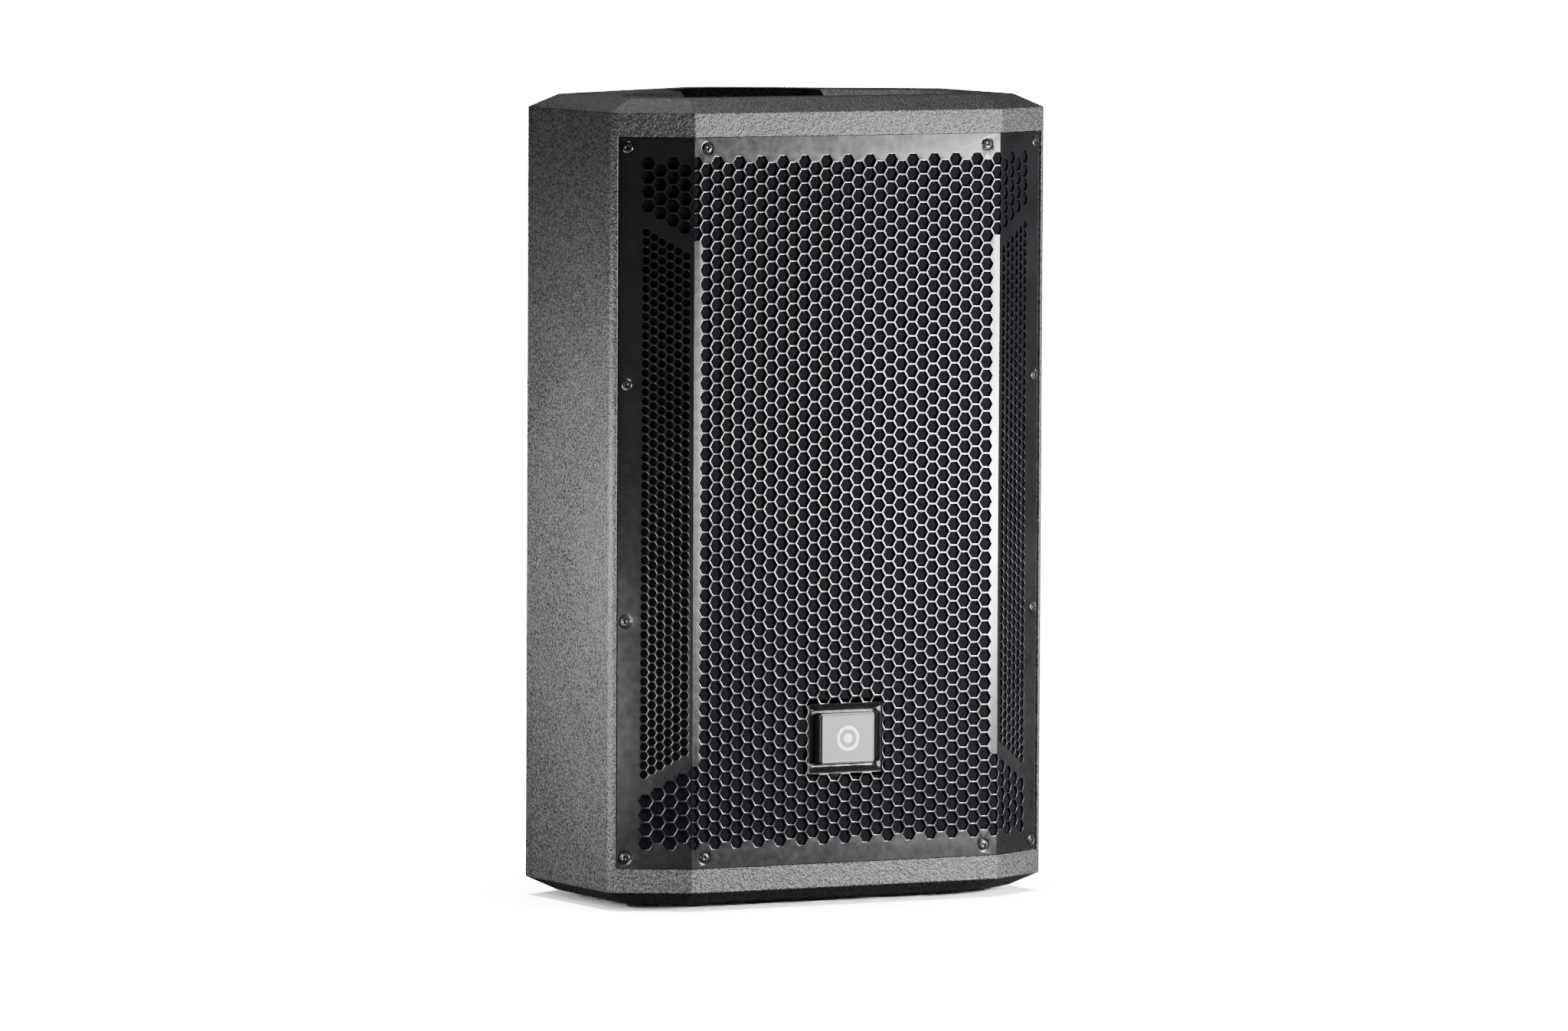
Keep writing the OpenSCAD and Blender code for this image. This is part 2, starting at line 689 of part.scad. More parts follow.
// Smooths a coarse route with a Catmull-Rom curve, steps points to each span.
function smooth(p, steps) = concat([for (i = [0 : len(p) - 2], k = [0 : steps - 1])
    let (a = p[max(i - 1, 0)], b = p[i], c = p[i + 1], d = p[min(i + 2, len(p) - 1)], t = k / steps)
    0.5 * (2 * b + (c - a) * t + (2 * a - 5 * b + 4 * c - d) * pow(t, 2)
        + (3 * b - a - 3 * c + d) * pow(t, 3))], [p[len(p) - 1]]);

module wire(coarse, r) {
    sides = 8;
    route = smooth(coarse, 4);
    n = len(route);
    points = [for (i = [0 : n - 1], k = [0 : sides - 1])
        let (d = wire_dir(route, i), u = wire_side(d), v = cross(d, u), a = 360 * k / sides)
        route[i] + r * (cos(a) * u + sin(a) * v)];
    faces = concat([[for (k = [0 : sides - 1]) k]],
        [for (i = [0 : n - 2], k = [0 : sides - 1], half = [0, 1])
            let (a = i * sides + k, b = i * sides + (k + 1) % sides)
            half == 0 ? [a, a + sides, b] : [b, a + sides, b + sides]],
        [[for (k = [sides - 1 : -1 : 0]) (n - 1) * sides + k]]);
    polyhedron(points, faces);
}

woofer_route = [[60, 160, 40.2], [60, 178, 62], [70, 170, 100], [80, 140, 140], [82, 121, 176]];
driver_route = [[120, 160, 40.2], [126, 172, 70], [128, 168, 140], [118, 152, 260],
    [108, 152, 340], [90, 170, 395], [75, 160, 440], [58, 130, 478], [53, 121, 486]];
input_route = [[96, 160, 40.4], [98, 178, 70], [60, 204, 110], [34, 208, 150], [24, 210, 186]];

module wiring() color([0.6, 0.1, 0.1]) body() {
    wire(woofer_route, 2);
    wire(driver_route, 2);
    wire(input_route, 2.5);
}

module damping_lining() color([0.7, 0.7, 0.65]) body() {
    near = grow(plan, -panel_t - 0.3);
    far = grow(plan, -panel_t - 18);
    for (zz = [[260, 384], [408, 536]])
        both_sides() slab([near[2] + 0.1 * (near[3] - near[2]), near[2] + 0.85 * (near[3] - near[2]),
            far[2] + 0.8 * (far[3] - far[2]), far[2] + 0.15 * (far[3] - far[2])], zz[0], zz[1]);
}

// ---------- rear input ----------

module input_dish() color([0.07, 0.07, 0.07]) body() difference() {
    union() {
        outer = grow(plan, dish_flange_t);
        rim_x = dish_w / 2 + dish_wall + dish_rim;
        intersection() {
            difference() {
                slab(outer, input_z - dish_h / 2 - dish_wall - dish_rim,
                    input_z + dish_h / 2 + dish_wall + dish_rim);
                slab(plan, 0, body_h);
            }
            translate([-rim_x, 200, 0]) cube([2 * rim_x, 100, body_h]);
        }
        intersection() {
            slab(outer, 0, body_h);
            translate([0, dish_floor - dish_wall, 0]) translate([-dish_w / 2 - dish_wall, 0,
                input_z - dish_h / 2 - dish_wall])
                cube([dish_w + 2 * dish_wall, 60, dish_h + 2 * dish_wall]);
        }
    }
    translate([-dish_w / 2, dish_floor, input_z - dish_h / 2]) cube([dish_w, 100, dish_h]);
    both_sides() translate([socket_x, 200, socket_z]) rotate([-90, 0, 0]) cylinder(h = 60, r = 13);
    translate([-13, 200, switch_z - 7]) cube([26, 60, 14]);
    rear_screws_at() translate([0, 0, -2]) cylinder(h = 6, r = pilot_r + 0.2);
    at_plate_screws() translate([0, 0, -4]) cylinder(h = 6, r = pilot_r - 0.4);
}

module dish_screws() color([0.2, 0.2, 0.2]) body() rear_screws_at()
    translate([0, 0, dish_flange_t]) mirror([0, 0, 1])
        phillips_screw(3.4, 1.2, screw_shank_r, 8);

module at_plate_screws() {
    for (z = [input_z - 55, input_z + 55])
        both_sides() translate([44, dish_floor, z]) rotate([-90, 0, 0]) children();
}

module connector_plate() color([0.55, 0.55, 0.57]) body() difference() {
    translate([-dish_w / 2 + 1, dish_floor, input_z - dish_h / 2 + 1])
        cube([dish_w - 2, 2, dish_h - 2]);
    both_sides() translate([socket_x, 200, socket_z]) rotate([-90, 0, 0])
        cylinder(h = 60, r = 12.3);
    translate([-12, 200, switch_z - 6]) cube([24, 60, 12]);
    at_plate_screws() translate([0, 0, -1]) cylinder(h = 4, r = pilot_r + 0.2);
}

module plate_screws() color([0.2, 0.2, 0.2]) body() at_plate_screws()
    translate([0, 0, 2]) mirror([0, 0, 1]) phillips_screw(3.2, 1.4, 1.5, 6);

module socket() difference() {
    union() {
        translate([-13, -15.5, 2]) cube([26, 31, 3]);
        translate([0, 0, -16]) cylinder(h = 24, r = 12);
    }
    difference() {
        translate([0, 0, -13]) cylinder(h = 40, r = socket_cavity_r);
        translate([0, 0, -14]) cylinder(h = 20, r = socket_core_r);
    }
    translate([0, 0, -13]) cylinder(h = 40, r = 2.2);
}

module socket_left() color([0.1, 0.12, 0.2]) body()
    translate([-socket_x, dish_floor, socket_z]) rotate([-90, 0, 0]) socket();

module socket_right() color([0.1, 0.12, 0.2]) body()
    translate([socket_x, dish_floor, socket_z]) rotate([-90, 0, 0]) socket();

module switch_body() color([0.09, 0.09, 0.09]) body() translate([0, dish_floor, switch_z])
    difference() {
        union() {
            translate([-17, 2, -9]) cube([34, 2, 18]);
            translate([-11.5, -12, -5.5]) cube([23, 15, 11]);
        }
        translate([-8, -4, -3.4]) cube([16, 20, 6.8]);
    }

module switch_lever() color([0.75, 0.1, 0.08]) body()
    translate([-lever_w / 2 - lever_travel / 2, dish_floor - 3.7, switch_z - 3])
        cube([lever_w, 11.7, 6]);

panel_top();
panel_bottom();
side_left();
side_right();
rear_left();
rear_right();
back_panel();
baffle();
brace();
grille_rails();
grille();
grille_foam();
grille_screws();
badge_base();
badge_plate();
handle_cup();
handle_screws();
rigging_inserts();
feet();
foot_screws();
pole_cup();
pole_cup_screws();
woofer_basket();
woofer_gasket();
woofer_surround();
woofer_cone();
dust_cap();
voice_coil();
spider();
woofer_front_plate();
woofer_magnet();
woofer_back_plate();
woofer_screws();
horn();
horn_screws();
driver_front_plate();
driver_magnet();
phase_plug();
diaphragm();
driver_cap();
port_left();
port_right();
crossover_board();
board_standoffs();
inductors();
capacitors();
resistors();
wiring();
damping_lining();
input_dish();
dish_screws();
connector_plate();
plate_screws();
socket_left();
socket_right();
switch_body();
switch_lever();
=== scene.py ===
"""Looks of the two-way PA speaker cabinet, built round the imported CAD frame."""

import cmath
import json
import math

import bmesh
import bpy
import numpy as np
from mathutils import Matrix, Vector, noise
from mathutils.geometry import delaunay_2d_cdt


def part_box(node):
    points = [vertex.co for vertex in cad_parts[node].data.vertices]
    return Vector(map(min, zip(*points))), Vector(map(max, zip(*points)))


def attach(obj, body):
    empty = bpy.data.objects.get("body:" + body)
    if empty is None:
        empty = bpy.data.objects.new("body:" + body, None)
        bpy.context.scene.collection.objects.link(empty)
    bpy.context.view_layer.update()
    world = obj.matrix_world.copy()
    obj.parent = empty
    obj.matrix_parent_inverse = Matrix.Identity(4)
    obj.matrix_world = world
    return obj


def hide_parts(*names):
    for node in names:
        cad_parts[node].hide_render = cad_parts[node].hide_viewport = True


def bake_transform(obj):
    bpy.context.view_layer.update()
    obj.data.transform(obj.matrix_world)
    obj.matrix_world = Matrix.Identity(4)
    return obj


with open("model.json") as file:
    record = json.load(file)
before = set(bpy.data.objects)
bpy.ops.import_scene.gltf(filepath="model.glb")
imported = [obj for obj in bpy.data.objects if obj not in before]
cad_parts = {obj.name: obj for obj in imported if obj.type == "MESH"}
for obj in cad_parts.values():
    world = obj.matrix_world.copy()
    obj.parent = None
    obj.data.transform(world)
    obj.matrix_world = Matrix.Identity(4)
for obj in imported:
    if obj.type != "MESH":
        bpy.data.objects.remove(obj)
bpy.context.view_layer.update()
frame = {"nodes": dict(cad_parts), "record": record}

# ---------- sizes, in millimetres ----------
# Body coordinates: x across, y from the front plane to the back, z up from the cabinet's underside.

MM = 0.001
# Points closer than this become one, in a finished piece and while triangulating
WELD = 0.002
CLOSE = 1e-5
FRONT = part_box("panel_top")[0].y / MM
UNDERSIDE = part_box("panel_bottom")[0].z / MM


def box_mm(node):
    """Lowest and highest corner of a CAD node, in body coordinates."""
    return [[v.x / MM, v.y / MM - FRONT, v.z / MM - UNDERSIDE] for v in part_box(node)]


HALF_W, DEPTH, BODY_H = box_mm("panel_top")[1]
WALL_LOW = box_mm("panel_bottom")[1][2]
WALL_TOP = box_mm("panel_top")[0][2]
SIDE_BACK = box_mm("side_right")[1][1]
BACK_HALF = box_mm("back_panel")[1][0]
PANEL_T = box_mm("baffle")[1][1] - box_mm("baffle")[0][1]
SHEET_T = 1.5
SHEET_FRONT = box_mm("grille_rails")[0][1] - SHEET_T
SHEET_LOW, SHEET_TOP = box_mm("grille")[0][2], box_mm("grille")[1][2]
MID_Z = BODY_H / 2

# The perforation: flat-topped hexagons, odd columns half a pitch lower
ROWS = 48
COLUMNS = 28
PLAIN_ENDS = 38.8
PITCH = (WALL_TOP - WALL_LOW - PLAIN_ENDS) / ROWS
COLUMN = PITCH * math.sqrt(3) / 2

# The plan: the grille's two folds, the bevels beside it, and the slanted rear
FOLD_MARGIN = 1.9
FOLD_X = COLUMNS * COLUMN / 2 + FOLD_MARGIN
SIDE_FRONT = 30.5
BEVEL_A = cmath.phase(complex(HALF_W - FOLD_X, SIDE_FRONT))
REAR_A = math.atan2(DEPTH - SIDE_BACK, HALF_W - BACK_HALF)
CORNER_R = 7.0
REAR_CORNER_R = 6.0
FOLD_R = 2.5

# Along a bevel from its fold: where the sheet ends, and where the side wall's lip starts
GRILLE_EDGE = 56.4
LAND_EDGE = GRILLE_EDGE + 1.0


def mirrored(outline):
    """An outline mirrored from right to left, still running counter-clockwise."""
    return [-p.conjugate() for p in reversed(outline)]


PLAN_HALF = [
    complex(FOLD_X, 0),
    complex(HALF_W, SIDE_FRONT),
    complex(HALF_W, SIDE_BACK),
    complex(BACK_HALF, DEPTH),
]
PLAN = PLAN_HALF + mirrored(PLAN_HALF)
PLAN_RADII = [FOLD_R, CORNER_R, REAR_CORNER_R, REAR_CORNER_R]
PLAN_RADII += PLAN_RADII[::-1]


# ---------- outlines and meshes ----------


def row(x, y, z):
    """A point in body coordinates as a point of the row frame, in metres."""
    return Vector((x, y + FRONT, z + UNDERSIDE)) * MM


def grow(outline, d):
    """A closed counter-clockwise outline moved outwards by d, with its corners kept sharp."""
    moved = []
    for i, p in enumerate(outline):
        before, after = p - outline[i - 1], outline[(i + 1) % len(outline)] - p
        n1, n2 = -1j * before / abs(before), -1j * after / abs(after)
        moved.append(p + d * (n1 + n2) / (1 + (n1 * n2.conjugate()).real))
    return moved


def corner_arc(p, before, after, radius, steps):
    """Points of the arc that rounds corner p between its two neighbours."""
    u, v = (before - p) / abs(before - p), (after - p) / abs(after - p)
    half = abs(cmath.phase(v / u)) / 2
    centre = p + (u + v) / abs(u + v) * radius / math.sin(half)
    start, end = p + u * radius / math.tan(half) - centre, p + v * radius / math.tan(half) - centre
    turn = cmath.phase(end / start)
    return [centre + start * cmath.exp(1j * turn * k / steps) for k in range(steps + 1)]


def rounded(outline, radii, steps=6):
    """A closed outline with every corner rounded by its radius."""
    n = len(outline)
    points = []
    for i, p in enumerate(outline):
        points += corner_arc(p, outline[i - 1], outline[(i + 1) % n], radii[i], steps)
    return points


def on_bevel(s, d):
    """A point of the right bevel in plan: s along it from the fold, d behind its face."""
    return FOLD_X + s * cmath.exp(1j * BEVEL_A) + d * 1j * cmath.exp(1j * BEVEL_A)


def circle(centre, radius, steps):
    """Points of a circle, counter-clockwise."""
    return [centre + radius * cmath.exp(2j * math.pi * k / steps) for k in range(steps)]


def add_object(name, data):
    """A new object in the scene."""
    obj = bpy.data.objects.new(name, data)
    bpy.context.scene.collection.objects.link(obj)
    return obj


def make_piece(name, points, faces, material, sharp):
    """A mesh piece from body-coordinate points, smooth except at edges sharper than this angle."""
    mesh = bpy.data.meshes.new(name)
    mesh.from_pydata([row(*p) for p in points], [], faces)
    mesh.validate()
    shell = bmesh.new()
    shell.from_mesh(mesh)
    bmesh.ops.remove_doubles(shell, verts=shell.verts, dist=WELD * MM)
    bmesh.ops.recalc_face_normals(shell, faces=shell.faces)
    shell.to_mesh(mesh)
    shell.free()
    mesh.shade_smooth()
    mesh.set_sharp_from_angle(angle=math.radians(sharp))
    mesh.materials.append(material)
    obj = add_object(name, mesh)
    level = obj.modifiers.new("flat_faces_stay_flat", "WEIGHTED_NORMAL")
    level.keep_sharp = True
    return obj


def loft(rings):
    """Points and quads through closed rings with the same number of points."""
    n = len(rings[0])
    points = [p for ring in rings for p in ring]
    faces = [
        (r * n + k, r * n + (k + 1) % n, (r + 1) * n + (k + 1) % n, (r + 1) * n + k)
        for r in range(len(rings) - 1)
        for k in range(n)
    ]
    return points, faces


def closed_loft(rings):
    """A loft with its first and its last ring filled in."""
    points, faces = loft(rings)
    n = len(rings[0])
    last = len(points) - n
    return points, faces + [tuple(range(n)), tuple(range(last + n - 1, last - 1, -1))]


def add_mesh(points, faces, more_points, more_faces):
    """Adds one mesh to another, with its faces numbered on."""
    base = len(points)
    points += more_points
    faces += [tuple(base + v for v in face) for face in more_faces]


def open_edges(triangles):
    """The directed edges that have a triangle on one side only."""
    directed = {(t[i], t[(i + 1) % 3]) for t in triangles for i in range(3)}
    return [(a, b) for a, b in directed if (b, a) not in directed]


def triangulate(outlines, lines=(), epsilon=CLOSE):
    """Points, triangles, and the numbers of the outlines that each triangle lies in."""
    points, faces, edges = [], [], []
    for outline in outlines:
        first = len(points)
        points += [Vector((p.real, p.imag)) for p in outline]
        faces.append(list(range(first, len(points))))
    for a, b in lines:
        edges.append((len(points), len(points) + 1))
        points += [Vector((a.real, a.imag)), Vector((b.real, b.imag))]
    out = delaunay_2d_cdt(points, edges, faces, 0, epsilon)
    return out[0], out[2], out[5]


def used_only(points, faces):
    """Drops the points that no face uses."""
    used = sorted({v for face in faces for v in face})
    index = {v: k for k, v in enumerate(used)}
    return [points[v] for v in used], [tuple(index[v] for v in face) for face in faces]


# ---------- materials ----------


# Turns in radians that keep a noise's own grid from lining up with a panel
OFF_AXIS = (0.62, 0.41, 0.87)
# At a scale of 1, a wave texture has about this many light and dark bands in each unit
BANDS_PER_UNIT = 6.3


class Finish:
    """A procedural material built round one Principled shader, textured in the row frame."""

    def __init__(self, name, roughness=0.5, metallic=0.0, ior=1.5, **constants):
        self.material = bpy.data.materials.new(name)
        self.material.use_nodes = True
        self.tree = self.material.node_tree
        self.shader = self.tree.nodes["Principled BSDF"]
        self.place = self.tree.nodes.new("ShaderNodeTexCoord").outputs["Object"]
        constants.update(Roughness=roughness, Metallic=metallic, IOR=ior)
        for socket, value in constants.items():
            self.shader.inputs[socket.replace("_", " ")].default_value = value

    def node(self, kind, inputs, **settings):
        """A shader node with each input set, or linked where it is given a socket."""
        made = self.tree.nodes.new("ShaderNode" + kind)
        for name, value in settings.items():
            setattr(made, name, value)
        for name, value in inputs.items():
            if isinstance(value, bpy.types.NodeSocket):
                self.tree.links.new(value, made.inputs[name])
            else:
                made.inputs[name].default_value = value
        return made

    def mapped(self, **change):
        """The place with a Rotation, or with a Scale for grain that runs along one direction."""
        return self.node("Mapping", {"Vector": self.place, **change}).outputs["Vector"]

    def noise(self, size_mm, detail=2.0, roughness=0.5, place=None):
        """Soft irregular patches of about this size."""
        inputs = {"Scale": 1 / (size_mm * MM), "Detail": detail, "Roughness": roughness}
        inputs["Vector"] = place or self.place
        return self.node("TexNoise", inputs).outputs["Fac"]

    def cells(self, size_mm):
        """Open cells of about this size, dark in their middles."""
        inputs = {"Scale": 1 / (size_mm * MM), "Vector": self.place}
        return self.node("TexVoronoi", inputs).outputs["Distance"]

    def waves(self, size_mm, distortion, direction="Z"):
        """Light and dark bands of about this width, one after another along an axis."""
        scale = 1 / (size_mm * MM * BANDS_PER_UNIT)
        inputs = {"Scale": scale, "Distortion": distortion, "Detail": 2.0}
        inputs["Vector"] = self.place
        return self.node("TexWave", inputs, bands_direction=direction).outputs["Fac"]

    def between(self, value, low, high, start=0.3, end=0.7):
        """The value from start to end, spread from low to high."""
        inputs = {"Value": value, "From Min": start, "From Max": end, "To Min": low, "To Max": high}
        return self.node("MapRange", inputs).outputs["Result"]

    def sum(self, a, b, share):
        """One value with a share of another on top."""
        scaled = self.node("Math", {0: b, 1: share}, operation="MULTIPLY").outputs[0]
        return self.node("Math", {0: a, 1: scaled}, operation="ADD").outputs[0]

    def colour(self, dark, light, factor, start=0.3, end=0.7):
        """Colours the shader from dark to light, as the factor goes from start to end."""
        mix = self.node("Mix", {}, data_type="RGBA")
        self.tree.links.new(self.between(factor, 0, 1, start, end), mix.inputs[0])
        mix.inputs[6].default_value = (*dark, 1)
        mix.inputs[7].default_value = (*light, 1)
        self.tree.links.new(mix.outputs[2], self.shader.inputs["Base Color"])

    def rough(self, factor, low, high):
        """Sets the roughness from low to high."""
        self.tree.links.new(self.between(factor, low, high), self.shader.inputs["Roughness"])

    def bump(self, height, depth_mm):
        """Raises the surface by this many millimetres where the height is 1."""
        made = self.node("Bump", {"Height": height, "Distance": depth_mm * MM, "Strength": 1.0})
        self.tree.links.new(made.outputs["Normal"], self.shader.inputs["Normal"])


def grained(name, dark, light, size_mm, depth_mm, rough, metallic=0.0):
    """A finish with a fine even grain: moulded plastic, cast metal, plain steel or rubber."""
    finish = Finish(name, metallic=metallic)
    grain = finish.noise(size_mm, 3.0, 0.6)
    cloud = finish.noise(size_mm * 30, 2.0)
    finish.colour(dark, light, cloud)
    finish.rough(finish.noise(size_mm * 8, 3.0), *rough)
    finish.bump(grain, depth_mm)
    return finish.material


def cabinet_paint():
    """Hard textured polyurethane paint: small rounded grains over a longer orange peel, the grain tops
    coloured lighter as a painted highlight.
    """
    finish = Finish("cabinet_paint")
    place = finish.mapped(Rotation=OFF_AXIS)
    grain = finish.noise(1.5, 2.0, 0.6, place)
    peel = finish.noise(3.6, 1.0, 0.5, place)
    cloud = finish.noise(60.0, 3.0)
    # The grain tops are coloured lighter: a painted highlight where they would catch the light. The
    # slow cloud added on top is random tone.
    grain_highlight_and_tone = finish.sum(finish.between(grain, 0, 1, 0.42, 0.60), cloud, 0.25)
    dark, light = (0.004, 0.004, 0.0045), (0.074, 0.075, 0.079)
    finish.colour(dark, light, grain_highlight_and_tone, 0.0, 1.2)
    finish.rough(finish.noise(9.0, 3.0), 0.38, 0.48)
    finish.bump(finish.sum(grain, peel, 0.6), 0.9)
    return finish.material


def grille_steel():
    """Satin black powder coat with a faint orange peel."""
    finish = Finish("grille_steel", ior=1.6)
    peel = finish.noise(1.1, 2.0, 0.5)
    cloud = finish.noise(45.0, 3.0)
    dark, light = (0.0045, 0.0047, 0.0052), (0.008, 0.0083, 0.009)
    finish.colour(dark, light, cloud)
    finish.rough(finish.noise(6.0, 3.0), 0.20, 0.25)
    finish.bump(peel, 0.006)
    return finish.material


def grille_foam():
    """Open-cell acoustic foam, black with a blue cast."""
    finish = Finish("grille_foam", roughness=0.9, ior=1.4, Specular_IOR_Level=0.1)
    cells = finish.cells(0.55)
    cloud = finish.noise(3.5, 3.0)
    dark, light = (0.0010, 0.0011, 0.0016), (0.0048, 0.0050, 0.0072)
    finish.colour(dark, light, finish.sum(cells, cloud, 0.6), 0.35, 0.95)
    finish.bump(cells, 0.35)
    return finish.material


def plywood():
    """Birch plywood faces with long soft grain."""
    finish = Finish("plywood", roughness=0.62)
    grain = finish.noise(4.0, 5.0, 0.65, finish.mapped(Scale=(0.12, 1.0, 1.0)))
    figure = finish.waves(22.0, 4.0)
    dark, light = (0.42, 0.27, 0.14), (0.66, 0.49, 0.30)
    finish.colour(dark, light, finish.sum(grain, figure, 0.35), 0.3, 0.95)
    finish.bump(grain, 0.12)
    return finish.material


def brushed_plate():
    """Satin aluminium-look plate of the badge, brushed upwards."""
    finish = Finish("badge_plate", metallic=0.25)
    brushed = finish.noise(0.5, 2.0, 0.5, finish.mapped(Scale=(1.0, 1.0, 0.08)))
    finish.colour((0.105, 0.105, 0.11), (0.125, 0.125, 0.13), brushed)
    finish.rough(brushed, 0.42, 0.50)
    finish.bump(brushed, 0.004)
    return finish.material


def cone_paper():
    """Coated paper with short fibres."""
    finish = Finish("cone_paper", roughness=0.7)
    fibres = finish.noise(1.2, 5.0, 0.7, finish.mapped(Scale=(1.0, 1.0, 0.3)))
    finish.colour((0.016, 0.016, 0.017), (0.034, 0.033, 0.033), fibres)
    finish.bump(fibres, 0.18)
    return finish.material


def woven_cloth(name, dark, light):
    """Resin-treated cloth with a fine weave."""
    finish = Finish(name, roughness=0.75)
    across, along = finish.waves(0.9, 0.3, "X"), finish.waves(0.9, 0.3, "Z")
    weave = finish.node("Math", {0: across, 1: along}, operation="MULTIPLY").outputs[0]
    finish.colour(dark, light, weave, 0.0, 0.8)
    finish.bump(weave, 0.12)
    return finish.material


def windings():
    """Enamelled copper wire laid turn by turn."""
    finish = Finish("copper", metallic=1.0)
    turns = finish.waves(0.5, 0.1, "Y")
    finish.colour((0.36, 0.13, 0.05), (0.85, 0.40, 0.19), turns, 0.1, 0.9)
    finish.rough(turns, 0.25, 0.38)
    finish.bump(turns, 0.12)
    return finish.material


def circuit_board():
    """Green solder mask with copper tracks showing through it."""
    finish = Finish("circuit_board", roughness=0.35, Coat_Weight=0.4, Coat_Roughness=0.15)
    bricks = {"Vector": finish.place, "Scale": 60.0, "Mortar Size": 0.06}
    tracks = finish.node("TexBrick", bricks).outputs["Fac"]
    finish.colour((0.008, 0.06, 0.022), (0.05, 0.16, 0.05), tracks, 0, 1)
    finish.bump(tracks, 0.05)
    return finish.material


def felt():
    """Loose polyester wadding."""
    finish = Finish("damping_felt", roughness=0.95, Sheen_Weight=0.5)
    tufts = finish.noise(7.0, 6.0, 0.7)
    finish.colour((0.50, 0.49, 0.46), (0.78, 0.77, 0.74), tufts)
    finish.bump(tufts, 2.5)
    return finish.material


PLASTIC_ROUGH, STEEL_ROUGH, ZINC_ROUGH = (0.4, 0.52), (0.3, 0.42), (0.25, 0.4)

# Dark and light colour, grain size and depth in mm, roughness, and metallic where it is metal
GRAINED = {
    "black_stain": ((0.012, 0.012, 0.012), (0.02, 0.02, 0.02), 1.5, 0.1, (0.6, 0.75)),
    "black_screw": ((0.03, 0.03, 0.03), (0.06, 0.06, 0.06), 0.4, 0.01, (0.22, 0.34), 0.7),
    "zinc_screw": ((0.48, 0.47, 0.43), (0.62, 0.62, 0.6), 0.5, 0.02, ZINC_ROUGH, 1.0),
    "badge_housing": ((0.008, 0.008, 0.009), (0.014, 0.014, 0.015), 0.5, 0.02, (0.3, 0.4)),
    "moulded_black": ((0.014, 0.014, 0.015), (0.022, 0.022, 0.024), 0.7, 0.06, PLASTIC_ROUGH),
    "insert_steel": ((0.05, 0.05, 0.055), (0.09, 0.09, 0.1), 0.5, 0.02, STEEL_ROUGH, 0.9),
    "rubber": ((0.012, 0.012, 0.012), (0.024, 0.024, 0.024), 0.6, 0.08, (0.7, 0.85)),
    "basket_alloy": ((0.045, 0.045, 0.05), (0.08, 0.08, 0.085), 0.8, 0.05, (0.38, 0.5), 0.5),
    "magnet_steel": ((0.42, 0.42, 0.44), (0.56, 0.56, 0.57), 0.7, 0.03, STEEL_ROUGH, 1.0),
    "ferrite": ((0.028, 0.028, 0.031), (0.055, 0.055, 0.058), 0.9, 0.08, (0.45, 0.6)),
    "horn_plastic": ((0.012, 0.012, 0.013), (0.02, 0.02, 0.021), 0.8, 0.05, PLASTIC_ROUGH),
    "diaphragm_metal": ((0.66, 0.67, 0.7), (0.8, 0.8, 0.83), 0.8, 0.02, ZINC_ROUGH, 1.0),
    "standoff": ((0.5, 0.38, 0.16), (0.66, 0.52, 0.25), 0.5, 0.02, ZINC_ROUGH, 1.0),
    "capacitor_film": ((0.45, 0.06, 0.03), (0.62, 0.10, 0.05), 1.2, 0.03, (0.25, 0.35)),
    "resistor_ceramic": ((0.66, 0.65, 0.58), (0.8, 0.79, 0.72), 0.6, 0.06, (0.6, 0.75)),
    "wire_jacket": ((0.36, 0.02, 0.015), (0.5, 0.035, 0.025), 0.8, 0.02, (0.35, 0.45)),
    "plate_metal": ((0.036, 0.036, 0.038), (0.044, 0.044, 0.046), 0.6, 0.03, (0.40, 0.43), 0.4),
    "socket_plastic": ((0.014, 0.02, 0.05), (0.025, 0.035, 0.08), 0.6, 0.03, (0.35, 0.45)),
    "switch_knob": ((0.33, 0.02, 0.015), (0.5, 0.035, 0.02), 0.5, 0.03, (0.4, 0.5)),
    "emblem_paint": ((0.80, 0.80, 0.81), (0.86, 0.86, 0.87), 0.5, 0.01, (0.3, 0.4)),
}

# One material for every material slot of the record, and two more: the stain and the emblem
FINISHES = {
    "cabinet_paint": cabinet_paint(),
    "plywood": plywood(),
    "grille_steel": grille_steel(),
    "grille_foam": grille_foam(),
    "badge_plate": brushed_plate(),
    "cone_paper": cone_paper(),
    "treated_cloth": woven_cloth("treated_cloth", (0.014, 0.014, 0.015), (0.045, 0.044, 0.043)),
    "spider_cloth": woven_cloth("spider_cloth", (0.42, 0.29, 0.10), (0.72, 0.55, 0.24)),
    "copper": windings(),
    "circuit_board": circuit_board(),
    "damping_felt": felt(),
}
FINISHES.update({name: grained(name, *numbers) for name, numbers in GRAINED.items()})


def cabinet_piece(name, points, faces, slot, nodes, sharp, finish=None):
    """A piece that rides on the cabinet and stands for these nodes, in its slot's finish or another."""
    piece = make_piece(name, points, faces, FINISHES[finish or slot], sharp)
    if nodes:
        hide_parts(*nodes)
    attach(piece, "cabinet")
    return piece


# ---------- wooden cabinet ----------

WOOD_SHARP = 40
CORNER_STEPS = 8

# The caps: band, chamfer, their rounded edges, and how the plan's corners tighten towards the face
RIM_BAND = 18.0
CHAMFER_IN = 21.0
RIM_R = 1.2
RIM_STEPS = 4
FACE_LAP = 2
CORNER_SHRINK = 0.5
LEAST_CORNER_R = 0.9

# What is cut through the caps
HANDLE_CORNERS = ((112, 48), (138, 82), (138, 98), (129, 124), (60, 160), (60, 190), (20, 222))
HANDLE_HALF = [complex(*corner) for corner in HANDLE_CORNERS]
HANDLE = HANDLE_HALF + mirrored(HANDLE_HALF)
HANDLE_FLANGE = 12.1
HANDLE_CORNER_R = 3.0
HANDLE_STEPS = 4
INSERTS = [complex(148, 148), complex(-148, 148)]
INSERT_R = 10.1
INSERT_SIDES = 40
POLE = complex(0, 125)
POLE_R = 20.8
POLE_SIDES = 64

